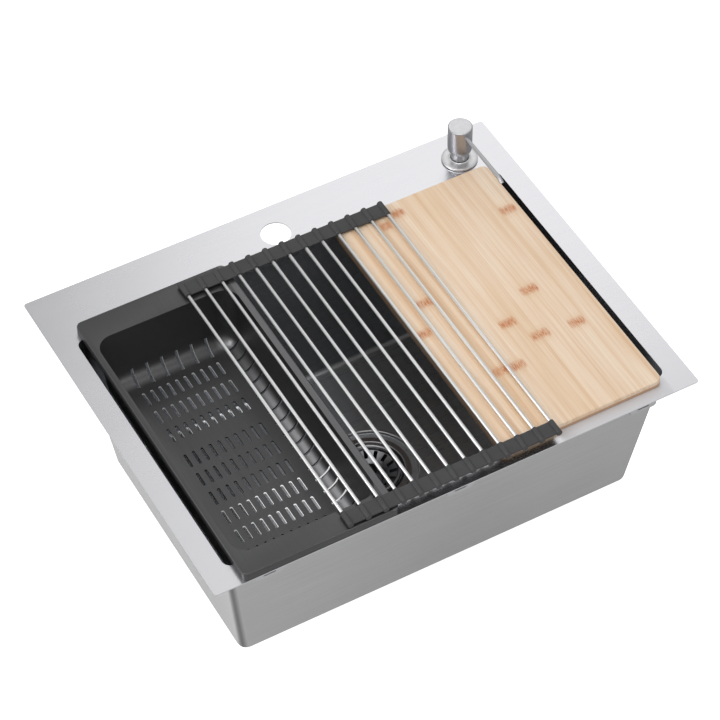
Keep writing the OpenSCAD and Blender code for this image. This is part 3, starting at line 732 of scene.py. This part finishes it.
class SinkSizes(bpy.types.PropertyGroup):
    """Small sizes of the dressed pieces."""

    basin_corner: bpy.props.FloatProperty(
        name="Basin corner", description="Radius of the basin's upright corners",
        default=0.012, min=0.005, max=0.02, subtype="DISTANCE", unit="LENGTH")
    basin_foot: bpy.props.FloatProperty(
        name="Basin foot", description="Radius of the basin's floor edges",
        default=0.007, min=0.004, max=0.014, subtype="DISTANCE", unit="LENGTH")
    basin_lean: bpy.props.FloatProperty(
        name="Basin lean", description="How far each wall leans in towards the floor",
        default=0.029, min=0.01, max=0.04, subtype="DISTANCE", unit="LENGTH")
    sheet: bpy.props.FloatProperty(
        name="Basin sheet", description="Thickness of the basin's steel",
        default=0.0012, min=0.0008, max=0.002, subtype="DISTANCE", unit="LENGTH")
    board_edge: bpy.props.FloatProperty(
        name="Board edge", description="Width of the bevel round the board",
        default=0.0018, min=0.0005, max=0.004, subtype="DISTANCE", unit="LENGTH")
    web_inset: bpy.props.FloatProperty(
        name="Web inset", description="How far the rack's webs stop short of the sleeves' ends",
        default=0.0012, min=0, max=0.005, subtype="DISTANCE", unit="LENGTH")
    lamp: bpy.props.FloatProperty(
        name="Lamp power", description="Power that each soft lamp has a share of",
        default=13.0, min=0, max=500, unit="POWER")


def sizes():
    return bpy.context.scene.sink_sizes


def colours():
    return bpy.context.scene.sink_colours


class SinkPiece:
    """What all piece operators share."""

    bl_options = {"REGISTER", "UNDO"}


class SINK_OT_deck(SinkPiece, bpy.types.Operator):
    """Gives the deck and its clip brackets their brushed steel"""

    bl_idname = "sink.deck"
    bl_label = "Deck"

    def execute(self, context):
        paint("deck", brushed_steel("deck_steel", colours().deck, "x", 0.26, 0.02, bump=0.002,
                                    sheen=0.004, dull=front_matt))
        paint("clip_brackets", brushed_steel("bracket_steel", tone("d0d0d2"), "x", 0.35, 0.08))
        return {"FINISHED"}


class SINK_OT_basin(SinkPiece, bpy.types.Operator):
    """Models the basin: a leaning tub of sheet steel with a recess for the strainer"""

    bl_idname = "sink.basin"
    bl_label = "Basin"

    def execute(self, context):
        size = sizes()
        sheet = size.sheet
        floor = BASIN_FLOOR - sheet
        half = (OPENING_X + sheet, OPENING_HALF_Y + sheet)
        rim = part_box("basin")[1].z
        basin = leaning_tub("basin_shell", half, (floor, rim), size.basin_corner + sheet,
                            size.basin_foot + sheet, size.basin_lean)
        edit(basin)
        pick("FACE", lambda f: f.normal.z > 0.9)
        bpy.ops.mesh.delete(type="FACE")
        done()
        add_modifier(basin, "SOLIDIFY", thickness=sheet, offset=-1.0, use_even_offset=True)
        shift(basin, y=OPENING_Y)
        top = BASIN_FLOOR
        dish_rim = 0.0691
        hole = peg("recess_cut", dish_rim - 0.0005, floor - 0.01, floor + 0.01, DRAIN)
        combine(basin, hole, "DIFFERENCE")
        dish = turned("recess", soften([
            (dish_rim, top), (0.0674, top + 0.0002), (0.0664, top - 0.0012),
            (0.0655, top - 0.0036), (0.0450, top - 0.0040), (0.0450, top - 0.0052),
            (0.0672, top - 0.0052), (dish_rim, top - sheet), (dish_rim, top)], 0.0008), DRAIN)
        dish.data.materials.clear()
        basin.data.materials.clear()
        shell = brushed_steel("basin_steel", colours().shell, "x", 0.36, 0.10, painted_shading=painted_wall_shading)
        lining = satin_coating("basin_lining", colours().lining, 0.30, "x", 0.8, lining_painted_light)
        for piece in (basin, dish):
            piece.data.materials.append(shell)
            piece.data.materials.append(lining)
        # A painted highlight: paler steel on the recess's outer edge
        edge = brushed_steel("recess_edge_painted_highlight", tone("e6e4e2"), "ring", 0.34, 0.05)
        dish.data.materials.append(edge)
        # The lining goes on the faces that look inwards or up, the outer steel on the others
        for face in dish.data.polygons:
            face.material_index = 1 if face.normal.z > -0.5 else 0
        for face in basin.data.polygons:
            inward = face.normal.x * face.center.x + face.normal.y * (face.center.y - OPENING_Y)
            upward = face.normal.z > 0.9 and face.center.z < rim - 0.01
            face.material_index = 1 if inward < -1e-4 or upward else 0
        finish_faces(dish, 2, lambda f: f.normal.z > -0.5 and off_axis(f, DRAIN) > 0.0666)
        basin = weld(dish, basin)
        smooth(basin, 35)
        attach(basin, "sink")
        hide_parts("basin")
        return {"FINISHED"}


class SINK_OT_strainer(SinkPiece, bpy.types.Operator):
    """Turns the strainer body and cuts the slots of its basket"""

    bl_idname = "sink.strainer"
    bl_label = "Strainer"

    def execute(self, context):
        low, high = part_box("strainer_body")
        top, foot = high.z, low.z
        threads = []
        z = top - 0.008
        while z > top - 0.040:
            threads += [(0.0442, z), (0.0436, z - 0.0008)]
            z -= 0.0016
        outline = [(0.0570, top - 0.0014), (0.0566, top - 0.0004), (0.0558, top),
                   (0.0500, top - 0.0002), (0.0493, top), (0.0482, top - 0.0004),
                   (0.0464, top - 0.0014), (0.0446, top - 0.0024), (0.0430, top - 0.0032),
                   (0.0428, top - 0.0460), (0.0410, top - 0.0480), (0.0230, top - 0.0482),
                   (0.0200, top - 0.0490), (0.01805, top - 0.0510), (0.01805, foot),
                   (0.02355, foot), (0.02355, top - 0.0560), (0.0425, top - 0.0500),
                   (0.0440, top - 0.0480)]
        outline += reversed(threads)
        outline += [(0.0442, top - 0.0032), (0.0495, top - 0.0015), (0.0570, top - 0.0014)]
        body = turned("strainer", outline, DRAIN, 96)
        steel = brushed_steel("strainer_steel", tone("a9a8ab"), "ring", 0.34, 0.06)
        coat = satin_coating("flange_coating", tone("8a8280"), 0.36, "ring", 0.6)
        # Painted shade: a dark finish on the slope down into the throat
        shade = satin_coating("throat_painted_shade", tone("3a3736"), 0.36, "ring", 0.8)
        settle(body, "sink", [steel, coat, shade], ["strainer_body"])
        for slot, least, most in ((1, 0.0501, 0.0600), (2, 0.0440, 0.0474)):
            finish_faces(body, slot, lambda f: f.calc_center_median().z > top - 0.0034
                         and least < off_axis(f, DRAIN) < most)
        self.basket()
        return {"FINISHED"}

    def basket(self):
        """Turns the basket, its knob and its stopper."""
        low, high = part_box("basket")
        rim, foot = high.z, low.z
        slots, holes = 15, 12
        outline = [(0.0, foot + 0.001), (0.0165, foot + 0.001), (0.0185, foot + 0.003),
                   (0.0200, rim - 0.0120), (0.0215, rim - 0.0108), (0.0374, rim - 0.0034),
                   (0.0386, rim - 0.0008), (0.0394, rim), (0.0410, rim - 0.0002),
                   (0.0420, rim - 0.0012), (0.0412, rim - 0.0012), (0.0398, rim - 0.0010),
                   (0.0392, rim - 0.0018), (0.0378, rim - 0.0046), (0.0220, rim - 0.0120),
                   (0.0212, rim - 0.0130), (0.0195, foot + 0.0024), (0.0170, foot),
                   (0.0, foot)]
        basket = turned("strainer_basket", outline, DRAIN, 96)
        slot = rounded("slot", (0.0265, -0.0027, rim - 0.03), (0.0368, 0.0027, rim + 0.01),
                       0.0009, 3)
        shift(slot, y=DRAIN.y)
        combine(basket, ring_of(slot, slots, DRAIN), "DIFFERENCE")
        hole = peg("hole", 0.0024, foot - 0.005, foot + 0.005, DRAIN + Vector((0.012, 0, 0)), 16)
        combine(basket, ring_of(hole, holes, DRAIN), "DIFFERENCE")
        steel = brushed_steel("basket_steel", tone("88888a"), "ring", 0.3, 0.08)
        # A painted highlight: pale steel on the basket's rim
        edge = brushed_steel("basket_edge_painted_highlight", tone("dcdcde"), "ring", 0.36, 0.05)
        settle(basket, "basket", [steel, edge], ["basket"])
        finish_faces(basket, 1, lambda f: f.calc_center_median().z > rim - 0.0016
                     and off_axis(f, DRAIN) > 0.0388)
        low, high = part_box("basket_knob")
        top = high.z
        knob = turned("strainer_knob", soften([
            (0, top), (0.0060, top), (0.0090, top - 0.0010), (0.0090, top - 0.0028),
            (0.0050, top - 0.0050), (0.0035, top - 0.0070), (0.0035, low.z), (0, low.z)],
            0.0009), DRAIN, 48)
        settle(knob, "basket", [brushed_steel("knob_steel", tone("5c5c5f"), "ring", 0.25, 0.1)],
               ["basket_knob"])
        low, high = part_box("basket_stopper")
        stopper = turned("strainer_stopper", soften([
            (0, low.z), (0.0215, low.z), (0.0236, low.z + 0.0012), (0.0240, low.z + 0.0040),
            (0.0225, low.z + 0.0052), (0.0120, low.z + 0.0060), (0.0066, low.z + 0.0080),
            (0.0065, high.z), (0, high.z)], 0.0008), DRAIN, 64)
        settle(stopper, "basket", [soft_rubber("stopper_rubber", tone("1c1c1c"), 0.55)],
               ["basket_stopper"])


class SINK_OT_waste(SinkPiece, bpy.types.Operator):
    """Models the nuts, washers and pipe below the strainer"""

    bl_idname = "sink.waste"
    bl_label = "Waste pipe"

    def execute(self, context):
        plain = brushed_steel("nut_metal", tone("b9b9b6"), "ring", 0.42, 0.14)
        rubber = soft_rubber("seal_rubber", tone("1a1a1a"))
        chrome = brushed_steel("pipe_chrome", tone("d9dadc"), "ring", 0.12, 0.03)
        paint("flange_gasket", rubber)
        paint("rubber_washer", rubber)
        paint("friction_ring", pressed_fibre("friction_fibre", tone("b8a078")))
        paint("tailpiece_seal", soft_rubber("white_seal", tone("dcdcd6")))
        self.nut("lock_nut_piece", "lock_nut", 0.04425, 6, 0.010, 0.0052, plain)
        self.nut("coupling_nut_piece", "coupling_nut", 0.0236, 8, 0.005, 0.0035, chrome, 0.0194)
        low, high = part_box("tailpiece")
        pipe = turned("waste_tailpiece", soften([
            (0.01785, high.z), (0.02315, high.z), (0.02315, high.z - 0.0015),
            (0.01855, high.z - 0.0015), (0.01855, high.z - 0.0056), (0.01905, high.z - 0.0062),
            (0.01905, low.z + 0.0005), (0.0188, low.z), (0.01785, low.z),
            (0.01785, high.z)], 0.0005), DRAIN, 72)
        settle(pipe, "sink", [chrome], ["tailpiece"])
        return {"FINISHED"}

    def nut(self, name, node, bore, lugs, width, depth, finish, lip=None):
        """A ring with lugs round it, and a narrower lip at its foot where one is given."""
        low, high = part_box(node)
        reach = (high.x - low.x) / 2
        wall = reach - depth
        foot, top = low.z, high.z
        inner = lip or bore
        outline = [(inner, foot), (wall, foot), (wall, top), (bore, top)]
        outline += [(bore, foot + 0.0025), (inner, foot + 0.0025)] if lip else []
        outline += [(inner, foot)]
        nut = turned(name, soften(outline, 0.0009), DRAIN, 72)
        lug = rounded("lug", (wall - 0.001, -width / 2, foot), (reach, width / 2, top),
                      0.0012, 3)
        shift(lug, y=DRAIN.y)
        combine(nut, ring_of(lug, lugs, DRAIN), "UNION")
        settle(nut, "sink", [finish], [node])


class SINK_OT_dispenser(SinkPiece, bpy.types.Operator):
    """Turns the dispenser's collar, head and bottle, bends its spout and winds its spring"""

    bl_idname = "sink.dispenser"
    bl_label = "Soap dispenser"

    def execute(self, context):
        steel = brushed_steel("dispenser_steel", colours().dispenser, "z", 0.33, 0.08)
        low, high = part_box("collar")
        z = high.z
        collar = turned("dispenser_collar", soften([
            (0.0130, z - 0.0010), (0.0133, z - 0.0002), (0.0142, z), (0.0152, z - 0.0006),
            (0.0200, z - 0.0014), (0.0249, z - 0.0022), (0.0255, z - 0.0034),
            (0.0255, z - 0.0050), (0.0145, z - 0.0050), (0.0145, low.z), (0.0100, low.z),
            (0.0100, low.z + 0.002), (0.0130, low.z + 0.002), (0.0130, z - 0.0010)], 0.0006),
            DISPENSER, 80)
        ring = brushed_steel("collar_steel", tone("f0f0f1"), "ring", 0.3, 0.12)
        # A painted highlight: a near-white, hardly metallic finish on the collar's inner lip
        lip = brushed_steel("collar_lip_painted_highlight", tone("f6f6f6"), "ring", 0.42, 0.03, 0.15)
        settle(collar, "sink", [ring, lip], ["collar"])
        finish_faces(collar, 1, lambda f: f.calc_center_median().z > z - 0.0020
                     and off_axis(f, DISPENSER) < 0.0146)
        self.head(steel)
        self.spout(brushed_steel("spout_steel", tone("c6c6c8"), "y", 0.4, 0.1))
        rubber = soft_rubber("dispenser_rubber", tone("1d1d1d"))
        paint("collar_seal", rubber)
        paint("deck_washer", rubber)
        ivory = moulded_plastic("nut_plastic", tone("e4e1d6"), 0.45)
        paint("deck_nut", ivory)
        white = moulded_plastic("pump_plastic", tone("ececec"), 0.38)
        for node in ("pump_cylinder", "dip_tube", "pump_stem"):
            paint(node, white)
        self.spring()
        self.bottle()
        return {"FINISHED"}

    def spring(self):
        """Winds the spring below the piston."""
        low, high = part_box("pump_spring")
        wire = 0.0011
        turns = 8
        let_go()
        bpy.ops.mesh.primitive_circle_add(
            vertices=10, radius=wire / 2, fill_type="NOTHING", rotation=LAID_ALONG_Y,
            location=(high.x - DISPENSER.x - wire / 2, 0, wire / 2))
        spring = named("dispenser_spring")
        add_modifier(spring, "SCREW", axis="Z", steps=24, render_steps=24, iterations=turns,
                     screw_offset=(high.z - low.z - wire) / turns)
        shift(spring, x=DISPENSER.x, y=DISPENSER.y, z=low.z)
        edit(spring)
        bpy.ops.mesh.select_all(action="SELECT")
        bpy.ops.mesh.fill_holes(sides=0)
        bpy.ops.mesh.select_all(action="SELECT")
        bpy.ops.mesh.normals_make_consistent(inside=False)
        done()
        spring.data.materials.append(brushed_steel("spring_wire", tone("c9c9cb"), "z", 0.3, 0.1))
        smooth(spring, 40)
        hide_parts("pump_spring")
        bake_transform(spring)

    def head(self, steel):
        """Turns the head, which presses the pump's stem down."""
        low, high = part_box("pump_head")
        top, foot = high.z, low.z
        outline = [(0, top), (0.0162, top), (0.01735, top - 0.0010), (0.01725, top - 0.0380),
                   (0.0167, foot + 0.0186), (0.0128, foot + 0.0156), (0.0126, foot),
                   (0.0106, foot), (0.0106, top - 0.0090), (0.0070, top - 0.0090),
                   (0.0070, top - 0.0310), (0.0042, top - 0.0310), (0.0042, top - 0.0088),
                   (0, top - 0.0088)]
        head = turned("dispenser_head", soften(outline, 0.0016), DISPENSER, 80)
        crown = brushed_steel("head_top", tone("d2d2d4"), "ring", 0.3, 0.04)
        settle(head, "pump_head", [steel, crown], ["pump_head"], 28)
        finish_faces(head, 1, lambda f: f.calc_center_median().z > top - 0.0004)

    def spout(self, steel):
        """Draws the spout out of the head, bends it down and hollows its end."""
        low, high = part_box("spout")
        radius = (high.x - low.x) / 2
        z = high.z - radius
        root = -0.0140
        bend = 0.0200
        droop = math.radians(36)
        narrow = 0.8
        straight = low.y + bend * math.sin(droop) - 0.0030
        let_go()
        bpy.ops.mesh.primitive_circle_add(vertices=28, radius=radius * narrow,
                                          fill_type="NGON", location=(DISPENSER.x, root, z),
                                          rotation=LAID_ALONG_Y)
        spout = named("dispenser_spout")
        bpy.ops.object.mode_set(mode="EDIT")
        bpy.ops.mesh.select_all(action="SELECT")
        move = {"value": (0, straight - root, 0)}
        bpy.ops.mesh.extrude_region_move(TRANSFORM_OT_translate=move)
        bpy.ops.transform.resize(value=(1 / narrow, 1 / narrow, 1 / narrow))
        bpy.ops.mesh.spin(steps=12, angle=droop,
                          center=(DISPENSER.x, straight, z - bend), axis=(-1, 0, 0))
        bpy.ops.mesh.inset(thickness=0.0006, depth=0.0)
        bpy.ops.mesh.inset(thickness=0.0001, depth=-0.008)
        close_up()
        done()
        settle(spout, "pump_head", [steel], ["spout"])

    def bottle(self):
        """Turns the hollow soap bottle under the deck."""
        low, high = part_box("soap_bottle")
        foot, top = low.z, high.z
        shoulder = top - 0.022
        outline = [(0.0146, top), (0.0165, top), (0.0165, shoulder + 0.004),
                   (0.0180, shoulder), (0.0250, shoulder - 0.0015), (0.0310, shoulder - 0.0090),
                   (0.0310, foot + 0.004), (0.0290, foot), (0.0200, foot), (0.0160, foot + 0.002),
                   (0, foot + 0.002), (0, foot + 0.0035), (0.0165, foot + 0.0035),
                   (0.0205, foot + 0.0015), (0.0283, foot + 0.0016), (0.0296, foot + 0.0045),
                   (0.0296, shoulder - 0.0095), (0.0245, shoulder - 0.0030),
                   (0.0170, shoulder - 0.0016), (0.0146, shoulder + 0.001), (0.0146, top)]
        bottle = turned("dispenser_bottle", soften(outline, 0.0012), DISPENSER, 80)
        milky = moulded_plastic("bottle_plastic", tone("e9ecee"), 0.3, 0.15)
        settle(bottle, "sink", [milky], ["soap_bottle"])


class SINK_OT_colander(SinkPiece, bpy.types.Operator):
    """Models the colander: a rim with a skirt, a leaning tub, and its slots"""

    bl_idname = "sink.colander"
    bl_label = "Colander"

    def execute(self, context):
        low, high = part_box("colander")
        wall = 0.0025
        # The rim, whose skirt ends 0.3 mm above the deck
        top, rest = high.z, 0.0018
        # The tub: half its width, its middle, and its front and back ends at the top
        tub_x = 0.10225
        x = high.x - tub_x - 0.010
        front, back = low.y + 0.03375, high.y - 0.0415
        tub_y = (front + back) / 2
        half_y = (back - front) / 2
        floor = low.z + wall
        shell = rounded("colander_shell", (low.x, low.y, rest), (high.x, high.y, top), 0.009)
        round_rim(shell, top, 0.0018, 4)
        under = rounded("under", (low.x + wall, low.y + wall, rest - 0.01),
                        (high.x - wall, high.y - wall, top - wall), 0.0065)
        combine(shell, under, "DIFFERENCE")
        corner, foot, lean = 0.023, 0.022, 0.008
        outer = leaning_tub("outer", (tub_x + wall, half_y + wall), (low.z, top - 0.0012),
                            corner + wall, foot + wall, lean)
        shift(outer, x, tub_y)
        combine(shell, outer, "UNION")
        inner = leaning_tub("inner", (tub_x, half_y), (floor, top + 0.002), corner, foot, lean)
        shift(inner, x, tub_y)
        combine(shell, inner, "DIFFERENCE")
        combine(shell, self.slots(x, back, floor, wall), "DIFFERENCE")
        combine(shell, self.slits(x, tub_y, tub_x, half_y, floor, wall), "DIFFERENCE")
        coat = satin_coating("colander_coating", colours().colander, 0.36, "y", 0.8,
                             colander_painted_highlights)
        edges = slot_walls_painted_glow("slot_edges_painted_glow", x, tub_x, back)
        settle(shell, "colander", [coat, edges], ["colander"], 30)
        self.paint_slot_glow(shell, x, tub_x, tub_y, half_y, floor)
        return {"FINISHED"}

    def paint_slot_glow(self, shell, x, half_x, y, half_y, floor):
        """Puts the second finish, dark with a painted glow, on the walls of the slots and slits.
        """

        def cut(face):
            place = face.calc_center_median()
            if not floor - 0.003 < place.z <= floor + 0.018 or abs(face.normal.z) > 0.02:
                return False
            if abs(place.x - x) < half_x - 0.03 and abs(place.y - y) < half_y - 0.03:
                return True
            return max(abs(face.normal.x), abs(face.normal.y)) > 0.9999

        finish_faces(shell, 1, cut)

    def slots(self, x, back, floor, wall):
        """The cutter of the floor's slots: nine rows of ten, the first three set apart."""
        half, pitch, columns = 0.002, 0.0124, 10
        first = rounded("slot", (-half, -0.012, floor - wall - 0.002),
                        (half, 0.012, floor + 0.002), 0.0019, 4)
        rows = []
        for i in range(9):
            place = -0.0514 - i * 0.036 - (0.014 if i >= 3 else 0)
            rows.append(shift(copied(first, f"slot_row_{i}"), y=place))
        bpy.data.objects.remove(first)
        row = weld(*rows)
        add_modifier(row, "ARRAY", count=columns, use_relative_offset=False,
                     use_constant_offset=True, constant_offset_displace=(pitch, 0, 0))
        return shift(row, x - (columns - 1) / 2 * pitch, back)

    def slits(self, x, y, half_x, half_y, floor, wall):
        """The cutter of the slits that turn up into the four walls."""
        half, pitch = 0.002, 0.0222
        inward, outward = 0.0285, 0.0035
        low, high = floor - wall - 0.001, floor + 0.0176
        side = block("side_slit", (half_x - inward, -half, low), (half_x + outward, half, high))
        parts = []
        for i in range(16):
            place = half_y - 0.0304 - i * pitch - (0.011 if i >= 5 else 0)
            parts.append(shift(copied(side, f"slit_{i}"), y=place))
        bpy.data.objects.remove(side)
        right = weld(*parts)
        left = copied(right, "left_slits")
        shift(left, x=inward - outward - 2 * half_x)
        end = block("end_slit", (-half, half_y - inward, low), (half, half_y + outward, high))
        parts = []
        for i in range(6):
            parts.append(shift(copied(end, f"end_{i}"), x=(i - 2.5) * pitch))
        bpy.data.objects.remove(end)
        back = weld(*parts)
        front = copied(back, "front_slits")
        shift(front, y=inward - outward - 2 * half_y)
        return shift(weld(left, back, front, right), x, y)


class SINK_OT_board(SinkPiece, bpy.types.Operator):
    """Models the bamboo board with rounded corners and bevelled edges"""

    bl_idname = "sink.board"
    bl_label = "Cutting board"

    def execute(self, context):
        low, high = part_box("cutting_board")
        board = rounded("bamboo_board", low, high, 0.010, 8)
        round_rim(board, high.z, sizes().board_edge, 4)
        round_rim(board, low.z, 0.0008, 3)
        wood = bamboo("board_bamboo", {
            "light": colours().board_light, "mid": colours().board_mid, "warm": tone("e0b78c"),
            "deep": tone("cc9c6e"), "node": tone("c46a2a"), "edge": tone("c09672"),
            "edge_light": tone("d0a884")})
        settle(board, "board", [wood], ["cutting_board"])
        return {"FINISHED"}


class SINK_OT_rack(SinkPiece, bpy.types.Operator):
    """Models the rack's rods, the sleeves on their ends and the webs between the sleeves"""

    bl_idname = "sink.rack"
    bl_label = "Roll-up rack"

    def execute(self, context):
        steel = brushed_steel("rod_steel", colours().rod, "y", 0.3, 0.02)
        silicone = soft_rubber("rack_silicone", colours().grip, 0.55)
        # Painted light: the sleeves a little lighter than the webs of the same silicone
        ridge = soft_rubber("rack_ridges_painted_light", darker(colours().grip, 1.04), 0.5)
        low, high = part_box("rack_rod_01")
        axis_z = (low.z + high.z) / 2
        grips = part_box("rack_grips_02")
        front, back = grips[0].y, grips[1].y
        # The back sleeves are longer, to cover the deck's edge
        front_length, back_length = 0.0235, 0.0248
        places = []
        for number in NUMBERS:
            low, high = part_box(f"rack_rod_{number}")
            places.append((low.x + high.x) / 2)
        rod = self.rod(low.y, high.y, (high.x - low.x) / 2)
        sleeve = weld(self.sleeve(front, front_length, True),
                      self.sleeve(back - back_length, back_length, False))
        for number, x in zip(NUMBERS, places):
            body = f"rack_{number}"
            one = shift(copied(rod, f"rod_{number}"), x, 0, axis_z)
            settle(one, body, [steel], [f"rack_rod_{number}"])
            pair = shift(copied(sleeve, f"sleeves_{number}"), x, 0, axis_z)
            settle(pair, body, [ridge], [f"rack_grips_{number}"])
        bpy.data.objects.remove(rod)
        bpy.data.objects.remove(sleeve)
        inset = sizes().web_inset
        ends = ((front + inset, front + front_length), (back - back_length, back - inset))
        for i, (number, following) in enumerate(zip(NUMBERS, NUMBERS[1:])):
            left, right = places[i], places[i + 1]
            web = self.web(left, right, ends, axis_z)
            web.name = f"web_{number}"
            smooth(web)
            web.data.materials.append(silicone)
            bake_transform(web)
        return {"FINISHED"}

    def rod(self, front, back, radius):
        """A round bar along Y with small bevels at its ends."""
        let_go()
        bpy.ops.mesh.primitive_cylinder_add(vertices=32, radius=radius, depth=back - front,
                                            location=(0, (front + back) / 2, 0),
                                            rotation=LAID_ALONG_Y)
        rod = named("rod")
        edit(rod)
        pick("EDGE", lambda e: abs(e.verts[0].co.y - e.verts[1].co.y) < 1e-6)
        bpy.ops.mesh.bevel(offset=0.0004, segments=2, affect="EDGES")
        done()
        return rod

    def sleeve(self, low, length, closed_front):
        """A tube of silicone along Y, with rounded ends and a closed outer end."""
        let_go()
        bpy.ops.mesh.primitive_cylinder_add(vertices=40, radius=SLEEVE_RADIUS, depth=length,
                                            location=(0, low + length / 2, 0),
                                            rotation=LAID_ALONG_Y)
        sleeve = named("sleeve")
        inner = low + length if closed_front else low
        edit(sleeve)
        pick("FACE", lambda f: abs(f.calc_center_median().y - inner) < 1e-6)
        bpy.ops.mesh.inset(thickness=0.0016, depth=0.0)
        bpy.ops.mesh.inset(thickness=0.00008, depth=-SLEEVE_BORE)
        pick("EDGE", lambda e: abs(e.verts[0].co.y - e.verts[1].co.y) < 1e-6
             and middle(e).xz.length > 0.003 and e.verts[0].co.xz.length > 0.0040)
        bpy.ops.mesh.bevel(offset=0.0009, segments=3, affect="EDGES")
        done()
        return sleeve

    def web(self, left, right, ends, z):
        """The thin silicone between two sleeves, at the front and at the back."""
        parts = []
        first, last = left + WEB_START, right - WEB_START
        for low, high in ends:
            web = block("web", (first, low, z - WEB_HALF_THICKNESS),
                        (last, high, z + WEB_HALF_THICKNESS))
            edit(web)
            pick("EDGE", lambda e: along(e, 0))
            bpy.ops.mesh.bevel(offset=0.0007, segments=2, affect="EDGES")
            for step in range(1, WEB_STEPS):
                bpy.ops.mesh.select_all(action="SELECT")
                x = first + (last - first) * step / WEB_STEPS
                bpy.ops.mesh.bisect(plane_co=(x, 0, 0), plane_no=(1, 0, 0))
            done()
            parts.append(web)
        return weld(*parts)


class SINK_OT_stage(SinkPiece, bpy.types.Operator):
    """Adds the floor, the lamps, the world and the camera"""

    bl_idname = "sink.stage"
    bl_label = "Stage"

    def execute(self, context):
        self.floor()
        self.world()
        self.lamps()
        self.camera()
        context.scene.view_settings.view_transform = "Standard"
        return {"FINISHED"}

    def floor(self):
        """A pale floor that the camera sees as white, with the sink's shadow on it."""
        let_go()
        foot = CAD_BOX[0][2]
        bpy.ops.mesh.primitive_plane_add(size=14.0, location=(0, 0, foot - 0.002))
        floor = bpy.context.object
        floor.name = "pale_floor"
        made = Finish("floor_white", Base_Color=(0.72, 0.72, 0.72), Roughness=0.9,
                      Emission_Strength=1.0, Specular_IOR_Level=0.0)
        seen = made.node("ShaderNodeLightPath", output="Is Camera Ray")
        made.set(Emission_Color=made.grey(seen * 0.9))
        floor.data.materials.append(made.material)

    def world(self):
        """Even grey light, which the camera sees as white."""
        world = bpy.data.worlds.new("studio")
        world.use_nodes = True
        bpy.context.scene.world = world
        tree = world.node_tree
        back = tree.nodes["Background"]
        path = tree.nodes.new("ShaderNodeLightPath")
        mix = tree.nodes.new("ShaderNodeMix")
        mix.data_type = "RGBA"
        mix.inputs[6].default_value = (0.52, 0.52, 0.522, 1)
        mix.inputs[7].default_value = (1, 1, 1, 1)
        tree.links.new(path.outputs["Is Camera Ray"], mix.inputs[0])
        tree.links.new(mix.outputs[2], back.inputs["Color"])
        back.inputs["Strength"].default_value = 1.0

    def lamps(self):
        """Soft square lamps, the strongest one above the sink's front."""
        power = sizes().lamp
        self.lamp("key", (1.6, 2.15, 2.5), 1.7, power * 0.52)
        self.lamp("second", (0.5, 1.0, 2.6), 0.9, power * 0.092)
        self.lamp("top", (-0.7, -1.0, 3.2), 2.4, power * 1.85)
        self.lamp("side", (-2.0, -0.3, 1.7), 0.9, power * 1.0)
        self.lamp("left", (-2.6, 0.5, 0.6), 1.8, power * 0.8)
        self.lamp("front", (0.9, -2.4, 1.8), 1.0, power * 0.48)

    def lamp(self, name, place, size, power):
        """One square lamp, turned towards the middle of the sink."""
        light = bpy.data.lights.new(name, "AREA")
        light.shape = "SQUARE"
        light.size = size
        light.energy = power
        lamp = bpy.data.objects.new(name, light)
        bpy.context.scene.collection.objects.link(lamp)
        lamp.location = place
        middle_of_sink = Vector((0, -0.25, 0))
        aim = middle_of_sink - Vector(place)
        lamp.rotation_euler = aim.to_track_quat("-Z", "Y").to_euler()

    def camera(self):
        """The view of the photograph: the axes and the place of its camera."""
        data = bpy.data.cameras.new("camera")
        data.lens = 155.41
        data.sensor_width = 36
        data.clip_end = 50
        camera = bpy.data.objects.new("camera", data)
        bpy.context.scene.collection.objects.link(camera)
        right = Vector((0.87392, -0.48598, -0.00940))
        down = Vector((-0.37026, -0.65305, -0.66063))
        ahead = Vector((0.31491, 0.58082, -0.75065))
        turn = Matrix((right, -down, -ahead)).transposed().to_4x4()
        camera.matrix_world = Matrix.Translation((-1.2979, -2.6296, 3.0673)) @ turn
        bpy.context.scene.camera = camera


OPERATORS = (SINK_OT_deck, SINK_OT_basin, SINK_OT_strainer, SINK_OT_waste, SINK_OT_dispenser,
             SINK_OT_colander, SINK_OT_board, SINK_OT_rack, SINK_OT_stage)


class SINK_PT_pieces(bpy.types.Panel):
    """Lists the pieces in the sidebar"""

    bl_idname = "SINK_PT_pieces"
    bl_label = "Kitchen sink"
    bl_space_type = "VIEW_3D"
    bl_region_type = "UI"
    bl_category = "Sink"

    def draw(self, context):
        for operator in OPERATORS:
            self.layout.operator(operator.bl_idname)
        for group in (context.scene.sink_sizes, context.scene.sink_colours):
            for key in group.__annotations__:
                self.layout.prop(group, key)


CLASSES = (SinkColours, SinkSizes, *OPERATORS, SINK_PT_pieces)


def register():
    for kind in CLASSES:
        bpy.utils.register_class(kind)
    bpy.types.Scene.sink_sizes = bpy.props.PointerProperty(type=SinkSizes)
    bpy.types.Scene.sink_colours = bpy.props.PointerProperty(type=SinkColours)


def unregister():
    del bpy.types.Scene.sink_colours
    del bpy.types.Scene.sink_sizes
    for kind in reversed(CLASSES):
        bpy.utils.unregister_class(kind)


def main():
    register()
    for operator in OPERATORS:
        group, name = operator.bl_idname.split(".")
        getattr(getattr(bpy.ops, group), name)()
    let_go()
    bpy.context.view_layer.update()


if __name__ == "__main__":
    main()
